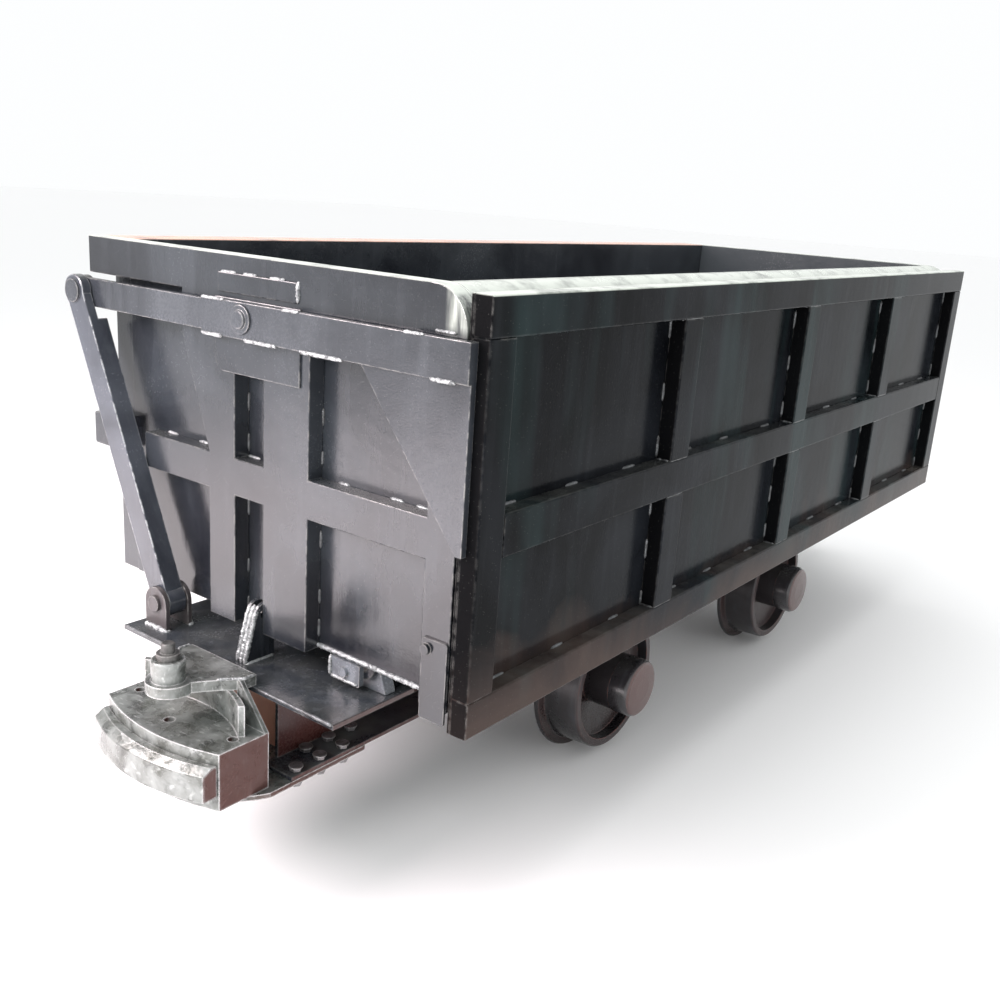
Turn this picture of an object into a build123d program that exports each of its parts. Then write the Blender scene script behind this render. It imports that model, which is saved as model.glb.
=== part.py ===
from build123d import *
import math
import os

os.makedirs("parts", exist_ok=True)

# Side-dump mine car, in millimetres. X runs along the track, Y across it with the swinging
# gate on the -Y side, and Z is up from the bottoms of the wheel flanges. The origin is on the
# track centreline under the middle of the car. The two ends are mirror images: "front" is
# the -X end.

# --- Driving dimensions ---------------------------------------------------------------------
HOPPER_HALF = 1500.0        # outer faces of the end frames and of the gate's ends
GATE_FACE = -613.5          # outer face of the gate
FAR_FACE = 613.5            # outer face of the far side's rails
RIM_TOP = 1358.0            # top of the hopper
RIM_HEIGHT = 86.0
PLATE = 6.0                 # end wall sheets
SIDE_PLATE = 8.0            # far wall, floor and gate sheets
GAUGE_SIDE = 283.0          # inner face of a wheel flange
WHEELBASE = 1110.0
FLANGE_R = 228.0
TREAD_R = 200.0
AXLE_HEIGHT = FLANGE_R
TIP_AXIS = (-288.0, 530.0)  # y, z of the hopper's tipping hinge
ARM_AXIS = (26.0, 1230.0)   # y, z where the gate arms hang on the hopper
LINK_HEAD = (604.0, 1230.0)  # y, z of the pin joining link and arm
PIN_R = 16.0                # pins of the linkage
RUNNING = 0.05              # radial clearance of a running fit
OPEN_PIVOT = 1.0            # radial clearance of the pin joining link and arm

# The link is parallel to the line from the tipping hinge to the arm pivot and as long,
# so that the gate stays upright while the hopper tips.
LINK_FOOT = (LINK_HEAD[0] - ARM_AXIS[0] + TIP_AXIS[0], LINK_HEAD[1] - ARM_AXIS[1] + TIP_AXIS[1])

# --- Planes of the pieces at the front end, by x --------------------------------------------
FRAME_BACK = -1459.0        # end wall sheet's outer face, where the frame bars stand on it
SHEET_BACK = FRAME_BACK + PLATE
PAD_FACE = -HOPPER_HALF - 5.0   # pivot plate and patch plate on the end frame
ARM_BACK = -1508.0
ARM_FRONT = -1524.0
LINK_BACK = -1502.0
LINK_FRONT = -1549.0
DECK_FRONT = -1605.0
DECK_BACK = -1360.0


def bar(x, y, z, mode=Mode.ADD):
    """Add or cut a square-edged bar or plate that fills the ranges x, y and z."""
    with Locations(((x[0] + x[1]) / 2, (y[0] + y[1]) / 2, (z[0] + z[1]) / 2)):
        Box(x[1] - x[0], y[1] - y[0], z[1] - z[0], mode=mode)


def rod(start, direction, radius, length, mode=Mode.ADD):
    """Add or cut a round bar that runs from start along direction."""
    with Locations(Plane(origin=start, z_dir=direction)):
        Cylinder(radius, length, align=(Align.CENTER, Align.CENTER, Align.MIN), mode=mode)


def cross_rod(x, at, radius, mode=Mode.ADD):
    """Add or cut a round bar along X over the range x, on the axis at = (y, z)."""
    rod((x[0], *at), (1, 0, 0), radius, x[1] - x[0], mode)


def save(piece, name):
    """Label a finished piece and write it as its own STEP file."""
    piece.part.label = name
    export_step(piece.part, f"parts/{name}.step")


def save_mirrored(piece, name, plane):
    """Write the mirror image of a piece under its own name."""
    with BuildPart() as image:
        mirror(piece.part, about=plane)
    save(image, name)


def save_both_ends(piece, name):
    """Write a front-end piece and its mirror image for the rear end."""
    save(piece, f"{name}_front")
    save_mirrored(piece, f"{name}_rear", Plane.YZ)


def save_pair(piece, name):
    """Write a front-end piece and its mirror image together, as two solids in one node."""
    with BuildPart() as pair:
        add(piece.part)
        mirror(piece.part, about=Plane.YZ)
    save(pair, name)


# ============================================================================================
# Underframe
# ============================================================================================
WEB_FACE = 125.0            # outer face of a channel's web
WEB = 10.0
FLANGE_TIP = 211.0
FLANGE = 10.0
CHANNEL_Z = (268.0, 456.0)
CHANNEL_HALF = 1580.0
WEB_END = 1545.0            # the webs stop short of the flanges at both ends
WEB_Z = (CHANNEL_Z[0] + FLANGE, CHANNEL_Z[1] - FLANGE)

with BuildPart() as channel:
    with BuildSketch(Plane.YZ.offset(-CHANNEL_HALF)) as section:
        with BuildLine():
            Polyline(
                (-WEB_FACE + WEB, CHANNEL_Z[0]),
                (-WEB_FACE + WEB, CHANNEL_Z[1]),
                (-FLANGE_TIP, CHANNEL_Z[1]),
                (-FLANGE_TIP, CHANNEL_Z[1] - FLANGE),
                (-WEB_FACE, CHANNEL_Z[1] - FLANGE),
                (-WEB_FACE, CHANNEL_Z[0] + FLANGE),
                (-FLANGE_TIP, CHANNEL_Z[0] + FLANGE),
                (-FLANGE_TIP, CHANNEL_Z[0]),
                close=True,
            )
        make_face()
    extrude(amount=2 * CHANNEL_HALF)
    for cut in ((-CHANNEL_HALF, -WEB_END), (WEB_END, CHANNEL_HALF)):
        bar(cut, (-WEB_FACE, -WEB_FACE + WEB), WEB_Z, Mode.SUBTRACT)
save(channel, "channel_gate_side")
save_mirrored(channel, "channel_far_side", Plane.XZ)

# Plates across the underframe, between the channel webs.
CROSS_X = (-1500.0, -350.0, 350.0, 1500.0)
CROSS_PLATE = 12.0
with BuildPart() as cross_members:
    for x in CROSS_X:
        bar(
            (x - CROSS_PLATE / 2, x + CROSS_PLATE / 2),
            (-WEB_FACE + WEB, WEB_FACE - WEB),
            CHANNEL_Z,
        )
save(cross_members, "cross_members")

# Deck plate over each end of the channels.
DECK_HALF = 357.0
DECK_Z = (CHANNEL_Z[1], 468.0)
DECK_CHAMFER = 2.0
with BuildPart() as deck:
    bar((DECK_FRONT, DECK_BACK), (-DECK_HALF, DECK_HALF), DECK_Z)
    chamfer(deck.edges().filter_by(Axis.X).group_by(Axis.Z)[-1], DECK_CHAMFER)
save_pair(deck, "deck_plates")

# Bumper: a welded box with a curved nose, carried on a wide bottom plate bolted under the
# channels. A tongue above the top plate leaves a pocket for a coupling link.
BUMPER_HALF = 191.0
BUMPER_REAR = -1628.0
BUMPER_SHOULDER = -1757.0   # where the curved nose meets the sides
BUMPER_NOSE = -1795.0
BUMPER_TOP = (386.0, 398.0)
BUMPER_PLATE = 12.0
BASE_Z = (256.0, CHANNEL_Z[0])
BASE_REAR = -1348.0
BASE_SIDE_END = -1640.0
BASE_NOSE = -1776.0
BASE_CORNER_R = 14.0
TONGUE_Z = (DECK_Z[1], 493.0)
TONGUE_REAR = -1594.0
TONGUE_HALF = 110.0         # at its root, from where it narrows in a hollow curve to the nose
TONGUE_ROOT = -1628.0
TONGUE_WAIST = (-1672.0, 74.0)
TONGUE_NECK = (-1714.0, 46.0)
DRAW_PIN_X = -1736.0
DRAW_PIN_R = 12.0
BOSS_R = 36.0
BOSS_TOP = 540.0
BOSS_FILLET = 4.0
TONGUE_NOSE = DRAW_PIN_X - 48.0
GEAR_HOLES_Y = 160.0        # two plain holes in the top plate, for safety chains
GEAR_HOLES_X = -1697.0
GEAR_HOLE_R = 11.0
POCKET_END = (-1684.0, 160.0)
POCKET_BACK = -1641.0
RIB = 10.0

with BuildPart() as bumper:
    # bottom plate, with its rounded nose
    with BuildSketch(Plane.XY.offset(BASE_Z[0])):
        with BuildLine():
            Polyline(
                (BASE_SIDE_END, -FLANGE_TIP),
                (BASE_REAR, -FLANGE_TIP),
                (BASE_REAR, FLANGE_TIP),
                (BASE_SIDE_END, FLANGE_TIP),
            )
            ThreePointArc((BASE_SIDE_END, FLANGE_TIP), (BASE_NOSE, 0), (BASE_SIDE_END, -FLANGE_TIP))
        make_face()
    extrude(amount=BASE_Z[1] - BASE_Z[0])
    fillet(bumper.edges().filter_by(Axis.Z).group_by(Axis.X)[-1], BASE_CORNER_R)
    # top plate
    with BuildSketch(Plane.XY.offset(BUMPER_TOP[0])):
        with BuildLine():
            Polyline(
                (BUMPER_SHOULDER, -BUMPER_HALF),
                (BUMPER_REAR, -BUMPER_HALF),
                (BUMPER_REAR, BUMPER_HALF),
                (BUMPER_SHOULDER, BUMPER_HALF),
            )
            ThreePointArc(
                (BUMPER_SHOULDER, BUMPER_HALF), (BUMPER_NOSE, 0), (BUMPER_SHOULDER, -BUMPER_HALF)
            )
        make_face()
    extrude(amount=BUMPER_TOP[1] - BUMPER_TOP[0])
    # side plates and the curved front plate between them
    for side in (-1, 1):
        edges = sorted((side * BUMPER_HALF, side * (BUMPER_HALF - BUMPER_PLATE)))
        bar((BUMPER_SHOULDER, BUMPER_REAR), edges, (BASE_Z[1], BUMPER_TOP[0]))
    with BuildSketch(Plane.XY.offset(BASE_Z[1])):
        with BuildLine():
            ThreePointArc(
                (BUMPER_SHOULDER, BUMPER_HALF), (BUMPER_NOSE, 0), (BUMPER_SHOULDER, -BUMPER_HALF)
            )
            Line((BUMPER_SHOULDER, -BUMPER_HALF), (BUMPER_SHOULDER + BUMPER_PLATE, -BUMPER_HALF))
            ThreePointArc(
                (BUMPER_SHOULDER + BUMPER_PLATE, -BUMPER_HALF),
                (BUMPER_NOSE + BUMPER_PLATE, 0),
                (BUMPER_SHOULDER + BUMPER_PLATE, BUMPER_HALF),
            )
            Line((BUMPER_SHOULDER + BUMPER_PLATE, BUMPER_HALF), (BUMPER_SHOULDER, BUMPER_HALF))
        make_face()
    extrude(amount=BUMPER_TOP[0] - BASE_Z[1])
    # tongue over the pocket, resting on the deck's front edge
    with BuildSketch(Plane.XY.offset(TONGUE_Z[0])):
        with BuildLine():
            Polyline(
                (TONGUE_ROOT, -TONGUE_HALF),
                (TONGUE_REAR, -TONGUE_HALF),
                (TONGUE_REAR, TONGUE_HALF),
                (TONGUE_ROOT, TONGUE_HALF),
            )
            ThreePointArc((TONGUE_ROOT, TONGUE_HALF), TONGUE_WAIST, TONGUE_NECK)
            ThreePointArc(TONGUE_NECK, (TONGUE_NOSE, 0), (TONGUE_NECK[0], -TONGUE_NECK[1]))
            ThreePointArc(
                (TONGUE_NECK[0], -TONGUE_NECK[1]),
                (TONGUE_WAIST[0], -TONGUE_WAIST[1]),
                (TONGUE_ROOT, -TONGUE_HALF),
            )
        make_face()
    extrude(amount=TONGUE_Z[1] - TONGUE_Z[0])
    # curved back wall of the pocket
    with BuildSketch(Plane.XY.offset(BUMPER_TOP[1])):
        with BuildLine():
            ThreePointArc(
                (POCKET_END[0], -POCKET_END[1]), (POCKET_BACK, 0), (POCKET_END[0], POCKET_END[1])
            )
            Line((POCKET_END[0], POCKET_END[1]), (POCKET_END[0] + RIB, POCKET_END[1] + RIB))
            ThreePointArc(
                (POCKET_END[0] + RIB, POCKET_END[1] + RIB),
                (POCKET_BACK + RIB, 0),
                (POCKET_END[0] + RIB, -POCKET_END[1] - RIB),
            )
            Line((POCKET_END[0] + RIB, -POCKET_END[1] - RIB), (POCKET_END[0], -POCKET_END[1]))
        make_face()
    extrude(amount=TONGUE_Z[0] - BUMPER_TOP[1])
    # upright ribs from the top plate's rear corners to the tongue
    with BuildSketch(Plane.YZ.offset(BUMPER_REAR)):
        for side in (-1, 1):
            with BuildLine():
                Polyline(
                    (side * (TONGUE_HALF - RIB), BUMPER_TOP[1]),
                    (side * BUMPER_HALF, BUMPER_TOP[1]),
                    (side * TONGUE_HALF, TONGUE_Z[1]),
                    (side * (TONGUE_HALF - RIB), TONGUE_Z[1]),
                    close=True,
                )
            make_face()
    extrude(amount=-RIB)
    # boss of the draw pin, and its bore down through tongue and top plate
    rod((DRAW_PIN_X, 0, TONGUE_Z[1]), (0, 0, 1), BOSS_R, BOSS_TOP - TONGUE_Z[1])
    fillet(bumper.edges().filter_by(GeomType.CIRCLE).group_by(Axis.Z)[-1], BOSS_FILLET)
    bore_depth = BOSS_TOP - BUMPER_TOP[0]
    rod((DRAW_PIN_X, 0, BUMPER_TOP[0]), (0, 0, 1), DRAW_PIN_R + RUNNING, bore_depth, Mode.SUBTRACT)
    for side in (-1, 1):
        rod(
            (GEAR_HOLES_X, side * GEAR_HOLES_Y, BUMPER_TOP[0]),
            (0, 0, 1),
            GEAR_HOLE_R,
            BUMPER_TOP[1] - BUMPER_TOP[0],
            Mode.SUBTRACT,
        )
save_both_ends(bumper, "bumper")

# Half-round buffer pad on the nose.
PAD_Z = (300.0, 373.0)
PAD_HALF = 188.0
PAD_NOSE = -1835.0
PAD_SHOULDER = -1795.0
PAD_GAP = 0.3               # between the pad and the bumper's curved front plate
PAD_CHAMFER = (13.0, 20.0)
PAD_BACK_X = BUMPER_NOSE - PAD_GAP
PAD_BACK_END = PAD_BACK_X + (BUMPER_SHOULDER - BUMPER_NOSE) * (PAD_HALF / BUMPER_HALF) ** 2
with BuildPart() as buffer_pad:
    with BuildSketch(Plane.XY.offset(PAD_Z[0])):
        with BuildLine():
            ThreePointArc((PAD_SHOULDER, PAD_HALF), (PAD_NOSE, 0), (PAD_SHOULDER, -PAD_HALF))
            Line((PAD_SHOULDER, -PAD_HALF), (PAD_BACK_END, -PAD_HALF))
            ThreePointArc((PAD_BACK_END, -PAD_HALF), (PAD_BACK_X, 0), (PAD_BACK_END, PAD_HALF))
            Line((PAD_BACK_END, PAD_HALF), (PAD_SHOULDER, PAD_HALF))
        make_face()
    extrude(amount=PAD_Z[1] - PAD_Z[0])
    chamfer(buffer_pad.edges().group_by(Axis.Z)[-1].sort_by(Axis.X)[0], *PAD_CHAMFER)
save_both_ends(buffer_pad, "buffer_pad")

# Draw pin with a collar and a knob: its tip stops in the tongue, and it lifts out of the boss.
PIN_TIP = TONGUE_Z[0] + 2.0
PIN_COLLAR_R = 25.0
PIN_COLLAR_TOP = BOSS_TOP + 14.0
PIN_KNOB_R = 15.0
PIN_KNOB_TOP = 576.0
PIN_CHAMFER = 3.0
with BuildPart() as draw_pin:
    rod((DRAW_PIN_X, 0, PIN_TIP), (0, 0, 1), DRAW_PIN_R, BOSS_TOP - PIN_TIP)
    rod((DRAW_PIN_X, 0, BOSS_TOP), (0, 0, 1), PIN_COLLAR_R, PIN_COLLAR_TOP - BOSS_TOP)
    rod((DRAW_PIN_X, 0, PIN_COLLAR_TOP), (0, 0, 1), PIN_KNOB_R, PIN_KNOB_TOP - PIN_COLLAR_TOP)
    for rim in (-1, 0):
        chamfer(draw_pin.edges().filter_by(GeomType.CIRCLE).group_by(Axis.Z)[rim], PIN_CHAMFER)
save_both_ends(draw_pin, "draw_pin")

# Bolts that hold the bumper's bottom plate under the channel flanges.
BOLT_ROWS = ((-1553.0, -194.0), (-1481.0, -147.0))
BOLT_PITCH = 70.0
BOLTS_IN_ROW = 3
BOLT_AF = 24.0
BOLT_HEAD = 13.0
with BuildPart() as frame_bolts:
    for end in (-1, 1):
        for side in (-1, 1):
            for x, y in BOLT_ROWS:
                for step in range(BOLTS_IN_ROW):
                    place = (-end * (x + step * BOLT_PITCH), -side * y)
                    for low in (CHANNEL_Z[0] + FLANGE, BASE_Z[0] - BOLT_HEAD):
                        with BuildSketch(Plane.XY.offset(low)):
                            with Locations(place):
                                RegularPolygon(BOLT_AF / 2, 6, major_radius=False)
                        extrude(amount=BOLT_HEAD)
save(frame_bolts, "frame_bolts")

# Forked bracket on the deck for the foot of each link.
EAR = 12.0
EAR_R = 40.0
EAR_TOP_Z = LINK_FOOT[1]
EAR_GAP = 1.5
with BuildPart() as link_bracket:
    for x in (LINK_FRONT - EAR_GAP - EAR, LINK_BACK + EAR_GAP):
        with BuildSketch(Plane.YZ.offset(x)):
            with Locations((LINK_FOOT[0], (DECK_Z[1] + EAR_TOP_Z) / 2)):
                Rectangle(2 * EAR_R, EAR_TOP_Z - DECK_Z[1])
            with Locations((LINK_FOOT[0], EAR_TOP_Z)):
                Circle(EAR_R)
            with Locations(LINK_FOOT):
                Circle(PIN_R, mode=Mode.SUBTRACT)
        extrude(amount=EAR)
save_pair(link_bracket, "link_brackets")

FOOT_HEAD = 8.0
FOOT_HEAD_R = 20.0
FOOT_PIN_PROUD = 10.0
EARS_X = (LINK_FRONT - EAR_GAP - EAR, LINK_BACK + EAR_GAP + EAR)
with BuildPart() as link_foot_pin:
    cross_rod((EARS_X[0], EARS_X[1] + FOOT_PIN_PROUD), LINK_FOOT, PIN_R)
    cross_rod((EARS_X[0] - FOOT_HEAD, EARS_X[0]), LINK_FOOT, FOOT_HEAD_R)
save_pair(link_foot_pin, "link_foot_pins")

# Hinge bracket on the deck behind the end wall, between the hopper's two hinge lugs.
LUG = 15.0
LUG_X = (SHEET_BACK, -1402.0)   # front faces of the hopper's two lugs
HINGE_PLAY = 2.0
BRACKET_X = (LUG_X[0] + LUG + HINGE_PLAY, LUG_X[1] - HINGE_PLAY)
HINGE_EYE_R = 32.0
BRACKET_HALF = 54.0
with BuildPart() as tip_bracket:
    with BuildSketch(Plane.YZ.offset(BRACKET_X[0])):
        with BuildLine():
            Polyline(
                (TIP_AXIS[0] - BRACKET_HALF, DECK_Z[1]),
                (TIP_AXIS[0] + BRACKET_HALF, DECK_Z[1]),
                (TIP_AXIS[0] + HINGE_EYE_R, TIP_AXIS[1]),
                (TIP_AXIS[0] - HINGE_EYE_R, TIP_AXIS[1]),
                close=True,
            )
        make_face()
        with Locations(TIP_AXIS):
            Circle(HINGE_EYE_R)
            Circle(PIN_R + RUNNING, mode=Mode.SUBTRACT)
    extrude(amount=BRACKET_X[1] - BRACKET_X[0])
save_pair(tip_bracket, "tip_brackets")

# A-shaped transport lug of two plates on the deck's centreline.
LOCK_LUG_PROFILE_X = (-1545.0, -1462.0)
LOCK_LUG_TOP = (-1491.0, 576.0)
LOCK_LUG_R = 26.0
LOCK_PLATE_Y = (8.0, 17.0)
LOCK_HOLE_R = 13.0
LOCK_FRONT_DROP = 4.0       # the slanted front edge meets the round top this much lower
with BuildPart() as lock_lug:
    for side in (-1, 1):
        with BuildSketch(Plane.XZ.offset(-side * LOCK_PLATE_Y[0])) as plate:
            with BuildLine():
                Polyline(
                    (LOCK_LUG_PROFILE_X[0], DECK_Z[1]),
                    (LOCK_LUG_PROFILE_X[1], DECK_Z[1]),
                    (LOCK_LUG_TOP[0] + LOCK_LUG_R, LOCK_LUG_TOP[1]),
                    (LOCK_LUG_TOP[0] - LOCK_LUG_R, LOCK_LUG_TOP[1] - LOCK_FRONT_DROP),
                    close=True,
                )
            make_face()
            with Locations(LOCK_LUG_TOP):
                Circle(LOCK_LUG_R)
                Circle(LOCK_HOLE_R, mode=Mode.SUBTRACT)
        extrude(amount=-side * (LOCK_PLATE_Y[1] - LOCK_PLATE_Y[0]))
save_pair(lock_lug, "lock_lugs")

# Steel rests on the far channel that carry the hopper when it is level.
REST_X = (-835.0, -765.0)
REST_Y = (130.0, 205.0)
BEARER_Z = (520.0, 588.0)
REST_GAP = 0.3
REST_CHAMFER = 4.0
with BuildPart() as body_rest:
    bar(REST_X, REST_Y, (CHANNEL_Z[1], BEARER_Z[0] - REST_GAP))
    chamfer(body_rest.edges().group_by(Axis.Z)[-1], REST_CHAMFER)
save_pair(body_rest, "body_rests")

# ============================================================================================
# Axles and wheels
# ============================================================================================
AXLE_R = 37.5
JOURNAL_R = 35.0
JOURNAL_START = 262.0
THREAD_R = 28.0
THREAD_START = 432.0
AXLE_END = 468.0
AXLE_X = -WHEELBASE / 2
AXLE_CHAMFER = 2.0
with BuildPart() as axle:
    for radius, reach in ((AXLE_R, JOURNAL_START), (JOURNAL_R, THREAD_START), (THREAD_R, AXLE_END)):
        rod((AXLE_X, -reach, AXLE_HEIGHT), (0, 1, 0), radius, 2 * reach)
    for tip in (-1, 0):
        chamfer(axle.edges().filter_by(GeomType.CIRCLE).group_by(Axis.Y)[tip], AXLE_CHAMFER)
save_both_ends(axle, "axle")

# Clamping boxes that hold an axle under the channels, one pair on each axle.
BOX_Y = (128.0, 208.0)
BOX_HALF_X = 75.0
BOX_BOTTOM = 176.0
BOX_CHAMFER = 18.0
with BuildPart() as axle_boxes:
    for side in (-1, 1):
        faces = sorted((side * BOX_Y[0], side * BOX_Y[1]))
        bar((AXLE_X - BOX_HALF_X, AXLE_X + BOX_HALF_X), faces, (BOX_BOTTOM, CHANNEL_Z[0]))
    chamfer(axle_boxes.edges().filter_by(Axis.Y).group_by(Axis.Z)[0], BOX_CHAMFER)
    rod((AXLE_X, -BOX_Y[1], AXLE_HEIGHT), (0, 1, 0), AXLE_R, 2 * BOX_Y[1], Mode.SUBTRACT)
save_pair(axle_boxes, "axle_boxes")

# Nuts that hold the bearings on the axle ends, inside the hub caps.
NUT_AF = 80.0
NUT_Y = (434.0, 458.0)
with BuildPart() as axle_nuts:
    for x in (-WHEELBASE / 2, WHEELBASE / 2):
        for side in (-1, 1):
            near = min(side * NUT_Y[0], side * NUT_Y[1])
            with BuildSketch(Plane.XZ.offset(-near)):
                with Locations((x, AXLE_HEIGHT)):
                    RegularPolygon(NUT_AF / 2, 6, major_radius=False)
                    Circle(THREAD_R, mode=Mode.SUBTRACT)
            extrude(amount=-(NUT_Y[1] - NUT_Y[0]))
save(axle_nuts, "axle_nuts")

FLANGE_OUT = 308.0          # y where the flange fairs into the tread
RIM_OUT = 405.0
RIM_R = 172.0               # inside of the rim
DISH = (325.0, 350.0)
DISH_EDGE = (350.0, 374.0)
HUB_R = 80.0
HUB_Y = (268.0, 430.0)
BEARING_R = 58.0
BEARING_Y = ((275.0, 305.0), (396.0, 424.0))
CAP_R = 82.0
CAP_Y = (430.0, 493.0)
CAP_WALL = 9.0
CAP_BOSS_R = 34.0


def wheel_axis(x):
    """Axis of the wheels at x along the car."""
    return Axis((x, 0, AXLE_HEIGHT), (0, 1, 0))


def turned(x, points):
    """Turn an outline of (distance from the axis, y) points about the wheel axis at x."""
    with BuildSketch(Plane.YZ.offset(x)) as outline:
        with BuildLine():
            Polyline([(-y, AXLE_HEIGHT + r) for r, y in points], close=True)
        make_face()
    revolve(outline.sketch, axis=wheel_axis(x))


for end, x in (("front", -WHEELBASE / 2), ("rear", WHEELBASE / 2)):
    with BuildPart() as wheel:
        turned(
            x,
            (
                (BEARING_R, HUB_Y[0]),
                (HUB_R, HUB_Y[0]),
                (HUB_R, DISH[0]),
                (RIM_R, DISH_EDGE[0]),
                (RIM_R, GAUGE_SIDE + 8),
                (FLANGE_R - 12, GAUGE_SIDE),
                (FLANGE_R - 3, GAUGE_SIDE + 2),
                (FLANGE_R, GAUGE_SIDE + 9),
                (FLANGE_R - 4, GAUGE_SIDE + 17),
                (TREAD_R + 4, FLANGE_OUT - 4),
                (TREAD_R, FLANGE_OUT + 4),
                (TREAD_R - 3, RIM_OUT - 5),
                (TREAD_R - 8, RIM_OUT),
                (RIM_R, RIM_OUT),
                (RIM_R, DISH_EDGE[1]),
                (HUB_R, DISH[1]),
                (HUB_R, HUB_Y[1]),
                (BEARING_R, HUB_Y[1]),
            ),
        )
    with BuildPart() as bearings:
        for faces in BEARING_Y:
            turned(
                x,
                (
                    (JOURNAL_R + RUNNING, faces[0]),
                    (BEARING_R, faces[0]),
                    (BEARING_R, faces[1]),
                    (JOURNAL_R + RUNNING, faces[1]),
                ),
            )
    with BuildPart() as cap:
        turned(
            x,
            (
                (CAP_R - CAP_WALL, CAP_Y[0]),
                (CAP_R, CAP_Y[0]),
                (CAP_R, CAP_Y[1] - 16),
                (CAP_R - 5, CAP_Y[1] - 6),
                (CAP_R - 14, CAP_Y[1] - 2),
                (CAP_BOSS_R, CAP_Y[1]),
                (0, CAP_Y[1]),
                (0, CAP_Y[1] - CAP_WALL),
                (CAP_R - CAP_WALL, CAP_Y[1] - CAP_WALL - 8),
            ),
        )
    for piece, kind in ((wheel, "wheel"), (bearings, "wheel_bearings"), (cap, "hub_cap")):
        save(piece, f"{kind}_{end}_gate_side")
        save_mirrored(piece, f"{kind}_{end}_far_side", Plane.XZ)

# ============================================================================================
# Hopper
# ============================================================================================
WALL_NEAR = -560.0          # edges of the end walls beside the gate
WALL_BOTTOM = 529.0
FAR_WALL_Y = (501.0, 509.0)
CORNER_R = 84.0             # rounded top corner beside the gate
FLOOR_Z = (BEARER_Z[1], BEARER_Z[1] + SIDE_PLATE)


def rounded_top(bottom, far):
    """Draw an upright outline from bottom to the rim, its corner beside the gate rounded."""
    Polyline(
        (WALL_NEAR, RIM_TOP - CORNER_R),
        (WALL_NEAR, bottom),
        (far, bottom),
        (far, RIM_TOP),
        (WALL_NEAR + CORNER_R, RIM_TOP),
    )
    CenterArc((WALL_NEAR + CORNER_R, RIM_TOP - CORNER_R), CORNER_R, 90, 90)


def post(near, far, low, high):
    """Draw an upright bar's outline over y from near to far and z from low to high."""
    with Locations(((near + far) / 2, (low + high) / 2)):
        Rectangle(far - near, high - low)


with BuildPart() as end_wall:
    with BuildSketch(Plane.YZ.offset(FRAME_BACK)):
        with BuildLine():
            rounded_top(WALL_BOTTOM, FAR_WALL_Y[1])
        make_face()
    extrude(amount=PLATE)
save_both_ends(end_wall, "end_wall")

# Bars welded on the outside of each end wall.
RIM_BOTTOM = RIM_TOP - RIM_HEIGHT
EDGE_POST_Y = (WALL_NEAR, -487.0)
POST_1_Y = (77.0, 165.0)
POST_2_Y = (-158.0, -18.0)
MID_RAIL_Z = (833.0, 918.0)
MID_RAIL_FAR = 406.0
RIM_FAR = 612.0
FLARE = (255.0, 1168.0)     # widened top of post 1
LIP_BOTTOM = 1256.0         # the rim beam is deeper behind the boxed part of the arm
FRAME_X = (-HOPPER_HALF, FRAME_BACK)
FRAME_DEPTH = FRAME_X[1] - FRAME_X[0]
with BuildPart() as end_frame:
    with BuildSketch(Plane.YZ.offset(FRAME_X[0])):
        with BuildLine():
            rounded_top(RIM_BOTTOM, RIM_FAR)
        make_face()
        post(*EDGE_POST_Y, WALL_BOTTOM, RIM_BOTTOM)
        post(*POST_1_Y, WALL_BOTTOM, RIM_BOTTOM)
        post(*POST_2_Y, WALL_BOTTOM, RIM_BOTTOM)
        post(EDGE_POST_Y[1], MID_RAIL_FAR, *MID_RAIL_Z)
        post(EDGE_POST_Y[1], POST_1_Y[1], LIP_BOTTOM, RIM_BOTTOM)
        with BuildLine():
            Polyline(
                (POST_1_Y[1], MID_RAIL_Z[1]),
                FLARE,
                (FLARE[0], RIM_BOTTOM),
                (POST_1_Y[1], RIM_BOTTOM),
                close=True,
            )
        make_face()
    extrude(amount=FRAME_DEPTH)
save_both_ends(end_frame, "end_frame")

# Plate over the two posts that carries the arm's pivot pin, and a patch on the rim beam.
PIVOT_PLATE_Y = (-133.0, 136.0)
PIVOT_PLATE_Z = (1108.0, 1268.0)
PATCH_Y = (-120.0, 125.0)
PATCH_Z = (1278.0, 1320.0)
PIVOT_PLATE_R = 30.0
with BuildPart() as pivot_plate:
    bar((PAD_FACE, -HOPPER_HALF), PIVOT_PLATE_Y, PIVOT_PLATE_Z)
    fillet(pivot_plate.edges().filter_by(Axis.X).group_by(Axis.Z)[0].sort_by(Axis.Y)[-1], PIVOT_PLATE_R)
    bar((PAD_FACE, -HOPPER_HALF), PATCH_Y, PATCH_Z)
save_pair(pivot_plate, "pivot_plates")

# Corner plate at the foot of the edge post, reaching below the wall.
CORNER_PLATE_Y = (WALL_NEAR, -495.0)
CORNER_PLATE_Z = (503.0, 678.0)
CORNER_BOLT = (-508.0, 655.0)
CORNER_BOLT_R = 11.0
CORNER_BOLT_HEAD = 9.0
CORNER_PLATE = 6.0
CORNER_PLATE_R = 6.0
CORNER_FACE = -HOPPER_HALF - CORNER_PLATE
with BuildPart() as corner_plate:
    bar((CORNER_FACE, -HOPPER_HALF), CORNER_PLATE_Y, CORNER_PLATE_Z)
    fillet(corner_plate.edges().filter_by(Axis.X), CORNER_PLATE_R)
    cross_rod((CORNER_FACE - CORNER_BOLT_HEAD, CORNER_FACE), CORNER_BOLT, CORNER_BOLT_R)
save_pair(corner_plate, "corner_plates")

# Sheet of the far side, and the sheet of the floor.
SHEET_X = (SHEET_BACK, -SHEET_BACK)
with BuildPart() as far_wall:
    bar(SHEET_X, FAR_WALL_Y, (WALL_BOTTOM, RIM_TOP))
save(far_wall, "far_wall")

with BuildPart() as floor_sheet:
    bar(SHEET_X, (WALL_NEAR, FAR_WALL_Y[0]), FLOOR_Z)
save(floor_sheet, "floor_sheet")

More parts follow.
